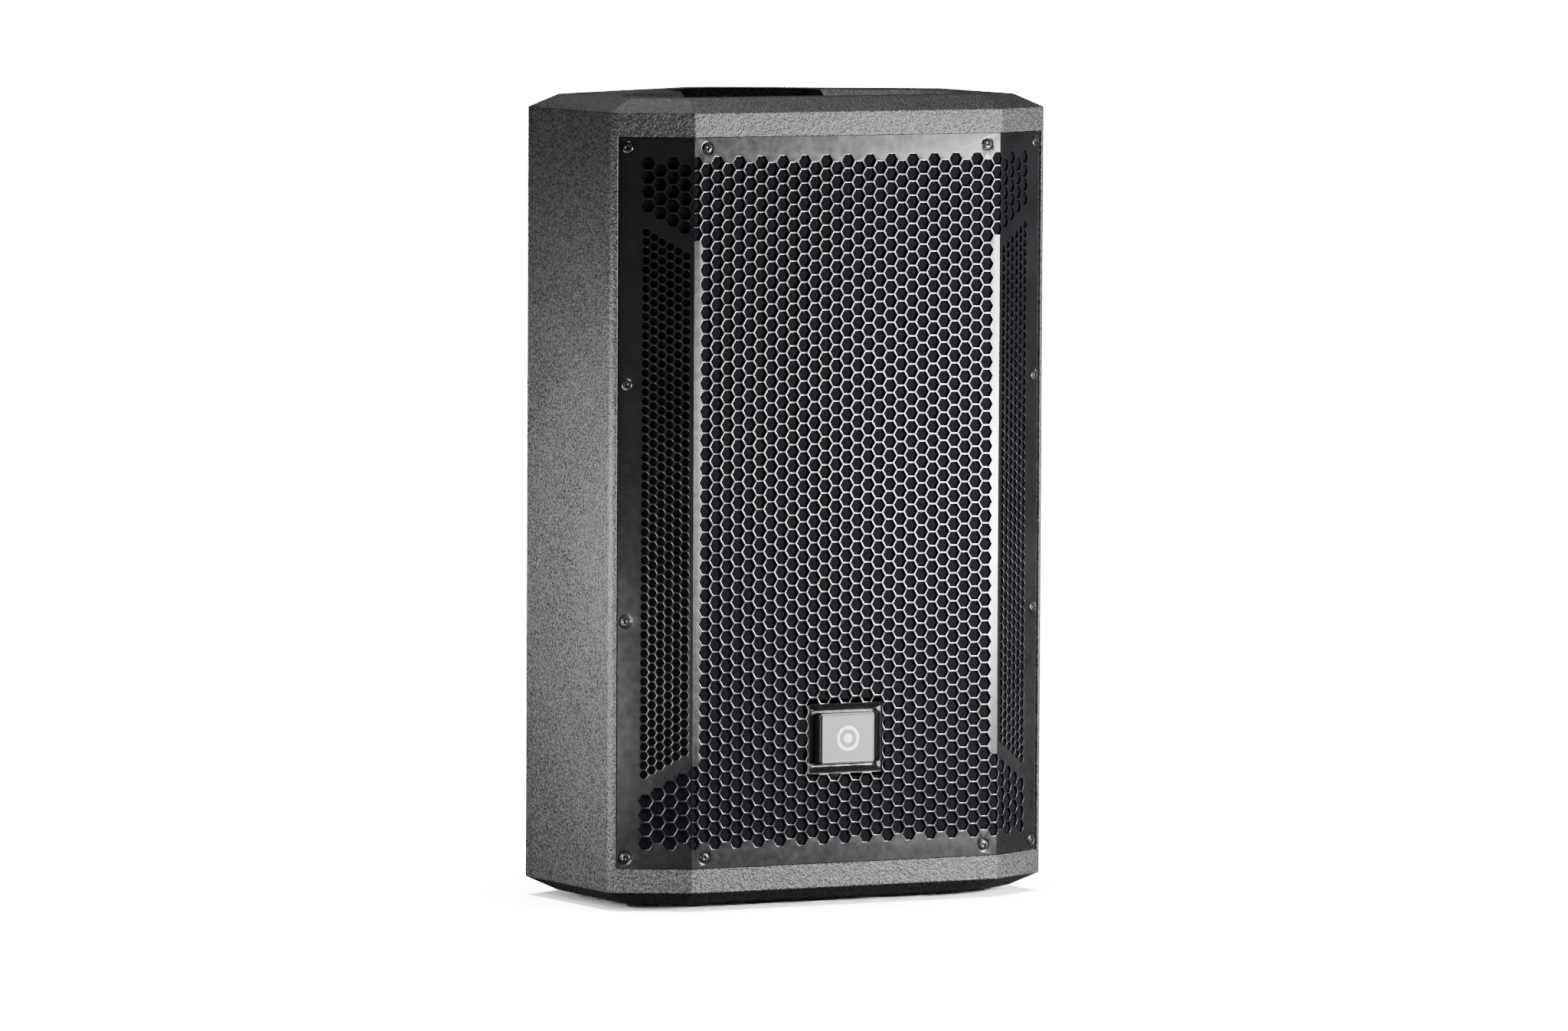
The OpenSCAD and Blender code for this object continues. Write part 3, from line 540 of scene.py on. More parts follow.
# The walls: the lip beside the grille, and the seams a little way past each rounded rear corner
LIP_R = 0.7
LIP_STEPS = 4
SEAM_STEP = 1.0
SIDE_ARC = corner_arc(PLAN[2], PLAN[1], PLAN[3], REAR_CORNER_R, CORNER_STEPS)
BACK_ARC = corner_arc(PLAN[3], PLAN[2], PLAN[4], REAR_CORNER_R, CORNER_STEPS)
REAR_ALONG = (PLAN[3] - PLAN[2]) / abs(PLAN[3] - PLAN[2])
REAR_INWARDS = 1j * REAR_ALONG
SIDE_SEAM = SIDE_ARC[-1] + REAR_ALONG * SEAM_STEP
BACK_SEAM = BACK_ARC[0] - REAR_ALONG * SEAM_STEP

# The opening for the input dish: its half width, lowest and highest edge
DISH_MARGIN = 4.2
INPUT_LO, INPUT_HI = box_mm("connector_plate")
OPENING_W = INPUT_HI[0] + DISH_MARGIN
OPENING_LOW = INPUT_LO[2] - DISH_MARGIN
OPENING_TOP = INPUT_HI[2] + DISH_MARGIN


def painted_wood(name, mesh, node):
    """A wooden piece in the cabinet's textured paint."""
    points, faces = mesh
    cabinet_piece(name, points, faces, "cabinet_paint", [node], WOOD_SHARP)


def edge_profile(corners):
    """An open profile of (inset, z) points with its inner corners rounded."""
    points = [corners[0]]
    for before, corner, after in zip(corners, corners[1:], corners[2:]):
        points += corner_arc(corner, before, after, RIM_R, RIM_STEPS)
    return points + [corners[-1]]


def cap_rings(side):
    """Outlines and heights of the cap, from the walls to its flat face. side is 1 for the top."""
    joint, face = (WALL_TOP, BODY_H) if side > 0 else (WALL_LOW, 0.0)
    rim = joint + side * RIM_BAND
    corners = [complex(0, joint), complex(0, rim)]
    corners += [complex(CHAMFER_IN, face), complex(CHAMFER_IN + FACE_LAP, face)]
    rings = []
    for p in edge_profile(corners):
        radii = [max(r - p.real * CORNER_SHRINK, LEAST_CORNER_R) for r in PLAN_RADII]
        rings.append((rounded(grow(PLAN, -p.real), radii), p.imag))
    return rings


def ring_at(outline, z):
    """A plan outline as points at one height."""
    return [(p.real, p.imag, z) for p in outline]


def flat_face(outline, holes, z):
    """Points and triangles of a flat face at this height, with its holes left open."""
    flat, triangles, inside = triangulate([outline, *holes])
    points = [(p.x, p.y, z) for p in flat]
    # Outline 0 is the face itself, and a triangle in a hole lies in two outlines
    return points, [t for t, outlines in zip(triangles, inside) if list(outlines) == [0]]


def build_cap(name, side, holes, node):
    """Top or bottom panel: rim band, chamfer all round and a flat face with holes right through."""
    rings = cap_rings(side)
    (first, joint_z), (last, face_z) = rings[0], rings[-1]
    points, faces = loft([ring_at(outline, z) for outline, z in rings])
    add_mesh(points, faces, *flat_face(last, holes, face_z))
    add_mesh(points, faces, *flat_face(first, holes, joint_z))
    for hole in holes:
        add_mesh(points, faces, *loft([ring_at(hole, face_z), ring_at(hole, joint_z)]))
    painted_wood(name, (points, faces), node)


def prism(outline, low, high):
    """Points and faces of a plan outline filled in between two heights."""
    return closed_loft([ring_at(outline, low), ring_at(outline, high)])


def side_outline():
    """Plan of the right side wall, from its ledge round both outer corners."""
    inner = grow(PLAN, -PANEL_T)
    back = SHEET_FRONT + SHEET_T
    inner_s = (inner[1].real - FOLD_X + back * math.sin(BEVEL_A)) / math.cos(BEVEL_A)
    ledge = [on_bevel(inner_s, back), on_bevel(LAND_EDGE, back)]
    lip = corner_arc(on_bevel(LAND_EDGE, 0), ledge[1], PLAN[1], LIP_R, LIP_STEPS)
    front = corner_arc(PLAN[1], PLAN[0], PLAN[2], CORNER_R, CORNER_STEPS)
    inside = SIDE_SEAM + REAR_INWARDS * PANEL_T
    return ledge + lip + front + SIDE_ARC + [SIDE_SEAM, inside, complex(inner[2].real, inside.imag)]


def rear_wall_face():
    """The right slanted wall seen square on: (along, z) points, notched for the input dish."""
    length = abs(BACK_SEAM - SIDE_SEAM)
    notch = length - (OPENING_W - BACK_ARC[0].real) / math.cos(REAR_A)
    lower = [(0, WALL_LOW), (length, WALL_LOW), (length, OPENING_LOW), (notch, OPENING_LOW)]
    return lower + [(notch, OPENING_TOP), (length, OPENING_TOP), (length, WALL_TOP), (0, WALL_TOP)]


def build_rear_wall(name, side, node):
    """A slanted rear wall. side is 1 for the right one."""
    rings = []
    for depth in (0, PANEL_T):
        places = [(SIDE_SEAM + REAR_ALONG * s + REAR_INWARDS * depth, z) for s, z in rear_wall_face()]
        rings.append([(side * p.real, p.imag, z) for p, z in places])
    painted_wood(name, closed_loft(rings), node)


def build_back_wall():
    """The narrow back with both of its rounded corners, above and below the input dish."""
    half = [BACK_SEAM + REAR_INWARDS * PANEL_T, BACK_SEAM] + BACK_ARC
    outline = half + mirrored(half)
    points, faces = prism(outline, WALL_LOW, OPENING_LOW)
    add_mesh(points, faces, *prism(outline, OPENING_TOP, WALL_TOP))
    painted_wood("back_wall", (points, faces), "back_panel")


def build_cabinet():
    """The two caps and the five walls."""
    handle = rounded(grow(HANDLE, HANDLE_FLANGE), [HANDLE_CORNER_R] * len(HANDLE), HANDLE_STEPS)
    pole = circle(POLE, POLE_R, POLE_SIDES)
    inserts = [circle(p, INSERT_R, INSERT_SIDES) for p in INSERTS]
    build_cap("cabinet_top", 1, [handle, *inserts], "panel_top")
    build_cap("cabinet_bottom", -1, [pole, *inserts], "panel_bottom")
    right = side_outline()
    painted_wood("side_wall_right", prism(right, WALL_LOW, WALL_TOP), "side_right")
    painted_wood("side_wall_left", prism(mirrored(right), WALL_LOW, WALL_TOP), "side_left")
    build_rear_wall("rear_wall_right", 1, "rear_right")
    build_rear_wall("rear_wall_left", -1, "rear_left")
    build_back_wall()


# ---------- grille ----------

# The holes: widths across their flats, and the rows and columns of the small ones on the bevels
LARGE_HOLE = 0.85 * PITCH
SMALL_PITCH = 0.66 * PITCH
SMALL_COLUMN = SMALL_PITCH * math.sqrt(3) / 2
SMALL_BAR = 1.65
SMALL_HOLE = SMALL_PITCH - SMALL_BAR
SMALL_COLUMNS = 6
SMALL_ROWS = 58
SMALL_START = 6.0
SMALL_CORNER = 0.55
TOP_ROW_Z = MID_Z + PITCH * ROWS / 2

# Large holes reach over the folds at both ends: rows kept in the fold's own column, then the
# number, first and last row of each column beyond it
FOLD_ROWS = 5.5
END_COLUMNS = ((1, 0.5, 4.5), (2, 0, 4), (3, 0.5, 3.5), (4, 0, 3))

# The sheet: its outer corners, and its two bends
SHEET_CORNER_R = 1.2
SHEET_CORNER_STEPS = 3
BEND_R = 3.2
BEND_STRIPS = 5
BEND_HALF = BEND_R * math.tan(BEVEL_A / 2)
LINE_INSET = 0.01
MERGE = 1e-4

# A hole's edge, in edge radii: how far in and how far down, rounded over and then to the back
EDGE_R = 0.42
EDGE_STEPS = [(0.0, 0.0), (0.707, 0.293), (1.0, 1.0), (1.0, SHEET_T / EDGE_R)]

# The pressed dish for the badge
BADGE_LO, BADGE_HI = box_mm("badge_plate")
BADGE = complex(0, (BADGE_LO[2] + BADGE_HI[2]) / 2)
DISH_HALF = complex(32.0, 26.5)
DISH_DEPTH = 4.0
DISH_CORNER_R = 2.0
DISH_SLOPE = 5.5
DISH_STEPS = (1, 2, 3, 4, DISH_SLOPE)
SLOPE_CORNER_R = 2.5
SLOPE_SHRINK = 0.2
LEAST_SLOPE_R = 1.0

# The grille screws, in pitches and columns from the middle, and the dimples that they sit in
SCREW_ROWS = (-25.05, -8.33, 8.33, 25.05)
SCREW_COLUMN = 12.95
SCREW_INSET = 6.0
DIMPLE_DEPTH = 0.45
DIMPLE_SLOPE = 1.0
DIMPLE_RADII = (5.4, 4.9, 4.4)
DIMPLE_SIDES = 24


def toward(p, q, distance):
    """The point this far from p in the direction of q."""
    return p + (q - p) / abs(q - p) * distance


def hexagon(centre, across, cut):
    """Flat-topped hexagon, measured across its flats, with each corner cut off by this much."""
    corners = [centre + across / math.sqrt(3) * cmath.exp(1j * math.pi * k / 3) for k in range(6)]
    if not cut:
        return corners
    points = []
    for k, p in enumerate(corners):
        points += [toward(p, corners[k - 1], cut), toward(p, corners[(k + 1) % 6], cut)]
    return points


def large_centres():
    """Centres of the large holes, unrolled: u across from the middle, z up."""
    centres = []
    for i in range(COLUMNS + 1):
        rows = [r + 0.5 * (i % 2) for r in range(ROWS + 1 - i % 2)]
        if i in (0, COLUMNS):
            rows = [r for r in rows if r < FOLD_ROWS or r > ROWS - FOLD_ROWS]
        centres += [complex((i - COLUMNS / 2) * COLUMN, TOP_ROW_Z - r * PITCH) for r in rows]
    for beyond, first, last in END_COLUMNS:
        u = (COLUMNS / 2 + beyond) * COLUMN
        for k in range(int(last - first) + 1):
            for r in (first + k, ROWS - first - k):
                centres += [complex(side * u, TOP_ROW_Z - r * PITCH) for side in (-1, 1)]
    return centres


def small_centres():
    """Centres of the small holes on both bevels, unrolled, each column shorter than the last."""
    centres = []
    for i in range(SMALL_COLUMNS):
        u = FOLD_X + SMALL_START + (SMALL_COLUMNS - 1 - i) * SMALL_COLUMN
        top = SMALL_ROWS / 2 - 0.5 * i
        for k in range(int(2 * top) + 1):
            centres += [complex(side * u, MID_Z + (top - k) * SMALL_PITCH) for side in (-1, 1)]
    return centres


def folded(u, z, depth):
    """The point of the folded sheet at u across and z up, this deep behind the front plane."""
    side, u = (1, u) if u >= 0 else (-1, -u)
    if u <= FOLD_X - BEND_HALF:
        return (side * u, depth, z)
    if u >= FOLD_X + BEND_HALF:
        p = on_bevel(u - FOLD_X, depth)
    else:
        angle = (u - FOLD_X + BEND_HALF) / (2 * BEND_HALF) * BEVEL_A
        centre = complex(FOLD_X - BEND_HALF, BEND_R)
        p = centre + (BEND_R - depth) * cmath.exp(1j * (angle - math.pi / 2))
    return (side * p.real, p.imag, z)


def rectangle(centre, half, radius, steps=5):
    """A rectangle of this half width and half height, with rounded corners."""
    signs = ((1, -1), (1, 1), (-1, 1), (-1, -1))
    corners = [centre + complex(x * half.real, y * half.imag) for x, y in signs]
    return rounded(corners, [radius] * 4, steps)


def screw_places():
    """The grille screws, unrolled. The outer columns sit on the bevels."""
    front_u = SCREW_COLUMN * COLUMN
    bevel_u = FOLD_X + GRILLE_EDGE - SCREW_INSET
    heights = [k * PITCH for k in SCREW_ROWS]
    places = [complex(side * bevel_u, MID_Z + h) for side in (-1, 1) for h in heights]
    ends = (heights[0], heights[-1])
    return places + [complex(side * front_u, MID_Z + h) for side in (-1, 1) for h in ends]


SCREWS = screw_places()


def smooth_step(t):
    """Rises from 0 to 1 with t, level at both ends."""
    t = min(max(t, 0.0), 1.0)
    return t * t * (3 - 2 * t)


def pressed_depth(p):
    """How deep the pressed dish and the screws' dimples are at an unrolled point."""
    q = p - BADGE
    edge = max(abs(q.real) - DISH_HALF.real, abs(q.imag) - DISH_HALF.imag)
    depth = DISH_DEPTH * smooth_step(-edge / DISH_SLOPE)
    for place in SCREWS:
        depth += DIMPLE_DEPTH * smooth_step((DIMPLE_RADII[0] - abs(p - place)) / DIMPLE_SLOPE)
    return depth


def dish_outline(inset):
    """The pressed dish's outline this far down its slope."""
    radius = max(SLOPE_CORNER_R - SLOPE_SHRINK * inset, LEAST_SLOPE_R)
    return rectangle(BADGE, DISH_HALF - complex(inset, inset), radius)


def bend_lines():
    """Upright lines across the unrolled sheet, where its bends are split into strips."""
    places = [FOLD_X + BEND_HALF * (2 * k / BEND_STRIPS - 1) for k in range(BEND_STRIPS + 1)]
    low, high = SHEET_LOW + LINE_INSET, SHEET_TOP - LINE_INSET
    return [(complex(side * u, low), complex(side * u, high)) for side in (-1, 1) for u in places]


def cut_sheet(holes):
    """The unrolled sheet's points and triangles, and which hole lies beside each edge of a hole."""
    half = complex(FOLD_X + GRILLE_EDGE, (SHEET_TOP - SHEET_LOW) / 2)
    sheet = rectangle(complex(0, (SHEET_LOW + SHEET_TOP) / 2), half, SHEET_CORNER_R, SHEET_CORNER_STEPS)
    dish = rectangle(BADGE, DISH_HALF, DISH_CORNER_R)
    solid = [sheet, dish, *[dish_outline(inset) for inset in DISH_STEPS]]
    dimples = [circle(p, r, DIMPLE_SIDES) for p in SCREWS for r in DIMPLE_RADII]
    flat, triangles, inside = triangulate([*solid, *holes, *dimples], bend_lines(), MERGE)
    hole_numbers = range(len(solid), len(solid) + len(holes))
    kept, beside = [], {}
    for triangle, outlines in zip(triangles, inside):
        # Outline 0 is the sheet, and 1 the dish, which has no holes
        on_plain_sheet = 0 in outlines and 1 not in outlines
        hole = next((k for k in outlines if on_plain_sheet and k in hole_numbers), None)
        if hole is not None:
            for i in range(3):
                beside[(triangle[i], triangle[(i + 1) % 3])] = hole - len(solid)
        elif 0 in outlines:
            kept.append(triangle)
    return [complex(p.x, p.y) for p in flat], kept, beside


def sheet_points(plan, hole_edges):
    """The sheet's points at each step of its edge, with those round a hole moving inwards."""
    share, middle = [0.0] * len(plan), list(plan)
    for a, b, centre, width in hole_edges:
        share[a] = share[b] = 2 * EDGE_R / (width + 2 * EDGE_R)
        middle[a] = middle[b] = centre
    depth = [SHEET_FRONT + pressed_depth(p) for p in plan]
    points = []
    for inwards, down in EDGE_STEPS:
        for v, p in enumerate(plan):
            q = p + (middle[v] - p) * share[v] * inwards
            points.append(folded(q.real, q.imag, depth[v] + down * EDGE_R))
    return points


def build_grille():
    """The folded steel sheet with every hexagonal hole cut, its edges rounded over."""
    wanted = [(c, LARGE_HOLE, 0.0) for c in large_centres()]
    wanted += [(c, SMALL_HOLE, SMALL_CORNER) for c in small_centres()]
    plan, kept, beside = cut_sheet([hexagon(c, width + 2 * EDGE_R, cut) for c, width, cut in wanted])
    edges = open_edges(kept)
    hole_edges = [(a, b, *wanted[beside[(b, a)]][:2]) for a, b in edges if (b, a) in beside]
    n, back = len(plan), len(plan) * (len(EDGE_STEPS) - 1)
    faces = [tuple(t) for t in kept] + [tuple(back + v for v in reversed(t)) for t in kept]
    for a, b in edges:
        if (b, a) in beside:
            for base in range(0, back, n):
                faces.append((base + b, base + a, base + n + a, base + n + b))
        else:
            faces.append((b, a, back + a, back + b))
    points, faces = used_only(sheet_points(plan, hole_edges), faces)
    cabinet_piece("perforated_grille", points, faces, "grille_steel", ["grille"], sharp=34)


# ---------- foam ----------

FOAM_EDGE = 39.5
FOAM_T = 4.0
FOAM_GAP = 0.2
FOAM_COLUMNS = 90
FOAM_ROWS = 130
FOAM_HOLE = DISH_HALF + complex(3, 3)

# The unevenness of its face: how high, how long, and which slice of the noise
LUMP_H = 0.35
LUMP_SIZE = 14
LUMP_SLICE = 3.1


def foam_lump(u, z):
    """How far the foam's face sinks at an unrolled point."""
    return LUMP_H * (noise.noise(Vector((u / LUMP_SIZE, z / LUMP_SIZE, LUMP_SLICE))) + 1) / 2


def build_foam():
    """The foam sheet that follows the folded grille, with an uneven face and a hole for the dish."""
    lo, hi = box_mm("grille_foam")
    edge = FOLD_X + FOAM_EDGE
    front = SHEET_FRONT + SHEET_T + FOAM_GAP
    wide, tall = FOAM_HOLE.real, FOAM_HOLE.imag
    us = sorted({*np.linspace(-edge, edge, FOAM_COLUMNS), -FOLD_X, FOLD_X, -wide, wide})
    zs = sorted({*np.linspace(lo[2], hi[2], FOAM_ROWS), BADGE.imag - tall, BADGE.imag + tall})
    rows = len(zs)
    points = [folded(u, z, front + foam_lump(u, z)) for u in us for z in zs]
    n = len(points)
    points += [folded(u, z, front + FOAM_T) for u in us for z in zs]
    cells = {
        (i, k)
        for i in range(len(us) - 1)
        for k in range(rows - 1)
        if abs(us[i] + us[i + 1]) / 2 > wide or abs((zs[k] + zs[k + 1]) / 2 - BADGE.imag) > tall
    }
    faces = []
    for i, k in sorted(cells):
        a, b = i * rows + k, (i + 1) * rows + k
        c, d = b + 1, a + 1
        faces += [(a, b, c, d), (n + d, n + c, n + b, n + a)]
        sides = {(i, k - 1): (a, b), (i + 1, k): (b, c), (i, k + 1): (c, d), (i - 1, k): (d, a)}
        faces += [(q, p, n + p, n + q) for cell, (p, q) in sides.items() if cell not in cells]
    points, faces = used_only(points, faces)
    foam = cabinet_piece("foam_sheet", points, faces, "grille_foam", ["grille_foam"], sharp=50)


# ---------- badge ----------

# Steps of each block from its back to its face: how far in, and how far behind the front
HOUSING_STEPS = ((0.0, 0.9), (0.25, 0.25), (0.9, 0.0))
HOUSING_CORNER_R = 2.4
PLATE_STEPS = ((0, 0.3), (0.3, 0.0), (1.0, 0.0), (1.15, 0.12))
PLATE_CORNER_R = 1.1

# The emblem: a ring with a dot, standing this little above the plate
RING_R = 9.5
RING_LINE = 2.4
DOT_R = 3.6
DOT_INNER_R = 0.4
EMBLEM_H = 0.12
EMBLEM_EDGE = 0.15
EMBLEM_SIDES = 64


def upright(outline, y):
    """An outline in the grille's plane as points at one depth."""
    return [(p.real, y, p.imag) for p in outline]


def stepped_block(low, high, steps, corner_r, shrink, corner_steps):
    """A block with these two corners, its face stepped in and its corners tightening with it."""
    half = complex((high[0] - low[0]) / 2, (high[2] - low[2]) / 2)
    rings = []
    for inset, y in [(0.0, high[1]), *((inset, low[1] + behind) for inset, behind in steps)]:
        radius = corner_r - inset * shrink
        outline = rectangle(BADGE, half - complex(inset, inset), radius, corner_steps)
        rings.append(upright(outline, y))
    return closed_loft(rings)


def raised_ring(outer, inner, front):
    """A flat ring round the badge's centre, with sloped edges."""
    profile = [(outer, front + EMBLEM_H), (outer - EMBLEM_EDGE, front)]
    profile += [(inner + EMBLEM_EDGE, front), (inner, front + EMBLEM_H)]
    rings = [upright(circle(BADGE, r, EMBLEM_SIDES), y) for r, y in profile]
    return loft([*rings, rings[0]])


def build_badge():
    """A moulded housing in the pressed dish, and a satin plate with a plain ring emblem."""
    housing = stepped_block(*box_mm("badge_base"), HOUSING_STEPS, HOUSING_CORNER_R, 1.0, 6)
    cabinet_piece("badge_housing", *housing, "badge_housing", ["badge_base"], sharp=60)
    plate = stepped_block(BADGE_LO, BADGE_HI, PLATE_STEPS, PLATE_CORNER_R, 0.5, 5)
    cabinet_piece("badge_plate_face", *plate, "badge_plate", ["badge_plate"], sharp=40)
    points, faces = raised_ring(RING_R, RING_R - RING_LINE, BADGE_LO[1])
    add_mesh(points, faces, *raised_ring(DOT_R, DOT_INNER_R, BADGE_LO[1]))
    cabinet_piece("badge_emblem", points, faces, "badge_plate", [], 40, "emblem_paint")


# ---------- grille screws ----------

# The domed head, drawn as circles from its rim inwards
HEAD_R = 4.0
HEAD_H = 1.5
HEAD_EDGE = 0.3
HEAD_SIDES = 28
HEAD_CIRCLES = (1.0, 0.93, 0.8, 0.62, 0.42, 0.2)

# The cross recess: the reach and half width of its arms, and its drawn-out inner corners
ARM = HEAD_R * 0.58
ARM_HALF = HEAD_R * 0.13
KNEE = ARM_HALF * 1.9
RECESS_DEPTH = 1.3
RECESS_MIDDLE = 1.15
RECESS_SLOPE = 0.5
RECESS_TAPER = 0.8

# The shank, and its length in a bevel and in a rail
SHANK_R = 1.9
TIP_R = 0.3
TIP_LENGTH = 2
BEVEL_SCREW_LENGTH = 9
RAIL_SCREW_LENGTH = 16

# Each screw is turned by this much more than the one before
FIRST_TURN = 0.35
TURN_STEP = 1.9


def dome(p):
    """Where the head's surface lies along the screw. HEAD_EDGE is the share of it at the rim."""
    round_part = math.sqrt(max(1 - (abs(p) / HEAD_R) ** 2, 0.0))
    return -HEAD_H * (HEAD_EDGE + (1 - HEAD_EDGE) * round_part)


def recess_floor(p):
    """Where the recess's floor lies along the screw: deepest in the middle."""
    return dome(0) + RECESS_DEPTH * (RECESS_MIDDLE - abs(p) / ARM * RECESS_SLOPE)


def cross_outline():
    """The cross of a Phillips recess."""
    quarter = (complex(ARM, -ARM_HALF), complex(ARM, ARM_HALF), complex(KNEE, KNEE))
    return [cmath.exp(1j * math.pi * k / 2) * p for k in range(4) for p in quarter]


def phillips_screw(length):
    """A domed screw with a cross recess: points are (across, along the screw, up)."""
    circles = [circle(0, HEAD_R * share, HEAD_SIDES) for share in HEAD_CIRCLES]
    flat, triangles, inside = triangulate([*circles, cross_outline()])
    cross = len(circles)
    plan = [complex(p.x, p.y) for p in flat]
    n = len(plan)
    points = [(p.real, dome(p), p.imag) for p in plan]
    points += [(p.real * RECESS_TAPER, recess_floor(p), p.imag * RECESS_TAPER) for p in plan]
    recess = [t for t, outlines in zip(triangles, inside) if cross in outlines]
    faces = [tuple(t) for t, outlines in zip(triangles, inside) if cross not in outlines]
    faces += [tuple(n + v for v in t) for t in recess]
    faces += [(a, b, n + b, n + a) for a, b in open_edges(recess)]
    rim = [next(i for i, q in enumerate(plan) if abs(q - p) < MERGE) for p in circles[0]]
    base, m = 2 * n, HEAD_SIDES
    faces += [(rim[k], rim[(k + 1) % m], base + (k + 1) % m, base + k) for k in range(m)]
    shank = [(HEAD_R, 0.0), (SHANK_R, 0.0), (SHANK_R, length - TIP_LENGTH), (TIP_R, length)]
    add_mesh(points, faces, *loft([upright(circle(0, r, m), w) for r, w in shank]))
    faces.append(tuple(range(len(points) - m, len(points))))
    return used_only(points, faces)


def build_grille_screws():
    """Twelve domed Phillips screws seated in their dimples, each turned its own way."""
    points, faces = [], []
    for number, place in enumerate(SCREWS):
        on_bevel_face = abs(place.real) > FOLD_X
        screw, screw_faces = phillips_screw(BEVEL_SCREW_LENGTH if on_bevel_face else RAIL_SCREW_LENGTH)
        turn = cmath.exp(1j * (FIRST_TURN + TURN_STEP * number))
        seated = []
        for x, along, z in screw:
            q = complex(x, z) * turn + place
            seated.append(folded(q.real, q.imag, SHEET_FRONT + DIMPLE_DEPTH + along))
        add_mesh(points, faces, seated, screw_faces)
    cabinet_piece("phillips_screws", points, faces, "black_screw", ["grille_screws"], sharp=35)


# ---------- woofer's moving rings ----------

# Each ring is made of sectors, and each sector of a few straight steps
SECTORS = 16
SECTOR_STEPS = 5
BAFFLE_Y = box_mm("baffle")[0][1]
CONE_LO, CONE_HI = box_mm("woofer_cone")
WOOFER_Z = (CONE_LO[2] + CONE_HI[2]) / 2

# Radii and depths behind the baffle's front. The flat inner and outer lands are glued down
SURROUND_T = 0.9
SURROUND_OUTER = [(147, -0.5), (136, -0.5)]
SURROUND_INNER = [(120.5, -0.5), (116.5, -0.5)]
ROLL_R = 6.7
ROLL_MIDDLE = 128.2
ROLL_BASE = -0.3
ROLL_CUT = 0.1
ROLL_POINTS = 14
SPIDER_T = 0.8
SPIDER_START = 32.5
SPIDER_LANDS = (70, 75.6)
WAVE_H = 1.5
WAVE_LENGTH = 8
WAVE_RUN = 32
WAVE_POINTS = 65


def round_woofer(radius, angle, depth):
    """A point this far from the woofer's axis and behind the baffle's front."""
    return (radius * math.cos(angle), BAFFLE_Y + depth, WOOFER_Z + radius * math.sin(angle))


def ring_sectors(name, profile, node, slot):
    """A ring in sectors, each a piece of its own."""
    for s in range(SECTORS):
        angles = [2 * math.pi * (s + k / SECTOR_STEPS) / SECTORS for k in range(SECTOR_STEPS + 1)]
        rings = [[round_woofer(radius, a, depth) for radius, depth in profile] for a in angles]
        sector = make_piece(f"{name}_{s:02d}", *closed_loft(rings), FINISHES[slot], sharp=50)
        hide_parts(node)
        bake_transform(sector)


def thick_profile(centreline, thickness):
    """A closed outline of this thickness round an open line of (radius, depth) points."""
    line = [complex(*p) for p in centreline]
    one_side, other_side = [], []
    for i, p in enumerate(line):
        along = line[min(i + 1, len(line) - 1)] - line[max(i - 1, 0)]
        out = 1j * along / abs(along) * thickness / 2
        one_side.append(p + out)
        other_side.append(p - out)
    return [(p.real, p.imag) for p in one_side + other_side[::-1]]


def build_woofer_rings():
    """The rolled cloth surround and the corrugated spider."""
    turns = np.linspace(ROLL_CUT, math.pi - ROLL_CUT, ROLL_POINTS)
    roll = [(ROLL_MIDDLE + ROLL_R * math.cos(a), -ROLL_R * math.sin(a) + ROLL_BASE) for a in turns]
    surround = thick_profile(SURROUND_OUTER + roll + SURROUND_INNER, SURROUND_T)
    ring_sectors("surround", surround, "woofer_surround", "treated_cloth")
    spider_lo, spider_hi = box_mm("spider")
    middle = (spider_lo[1] + spider_hi[1]) / 2 - BAFFLE_Y
    waves = []
    for run in np.linspace(0, WAVE_RUN, WAVE_POINTS):
        height = WAVE_H * math.sin(2 * math.pi * run / WAVE_LENGTH)
        waves.append((SPIDER_START + run, middle + height))
    spider = thick_profile(waves + [(r, middle) for r in SPIDER_LANDS], SPIDER_T)
    ring_sectors("spider", spider, "spider", "spider_cloth")


# ---------- everything that keeps its CAD shape ----------

# Nodes whose surface differs from their slot: stained plywood, and the painted hand pocket
OTHER_FINISHES = {
    "baffle": "black_stain",
    "grille_rails": "black_stain",
    "handle_cup": "cabinet_paint",
}

# What counts as an edge, and the widths of the broken edges in mm
EDGE_ANGLE = math.radians(40)
SOFT_EDGES = {
    "handle_cup": 0.8,
    "input_dish": 0.5,
    "connector_plate": 0.3,
    "feet": 0.6,
    "pole_cup": 0.4,
    "brace": 0.5,
    "baffle": 0.4,
    "switch_lever": 0.4,
    "switch_body": 0.3,
    "rigging_inserts": 0.25,
    "horn": 0.4,
    "crossover_board": 0.1,
    "resistors": 0.3,
    "capacitors": 0.5,
    "damping_lining": 3.0,
}


def break_edges(obj, width_mm):
    """Rounds every edge of more than EDGE_ANGLE."""
    bevel = obj.modifiers.new("broken_edges", "BEVEL")
    bevel.width = width_mm * MM
    bevel.segments = 2
    bevel.limit_method = "ANGLE"
    bevel.angle_limit = EDGE_ANGLE


def dress_cad_nodes():
    """Gives every CAD node that still shows its procedural finish and softly broken edges."""
    slots = {part["node"]: part["material_slot"] for part in frame["record"]["subparts"]}
    for name, obj in frame["nodes"].items():
        if obj.hide_render:
            continue
        obj.data.materials.clear()
        obj.data.materials.append(FINISHES[OTHER_FINISHES.get(name, slots[name])])
        if name in SOFT_EDGES:
            break_edges(obj, SOFT_EDGES[name])


# ---------- floor and light, in metres and watts ----------

FLOOR_HALF = 60.0

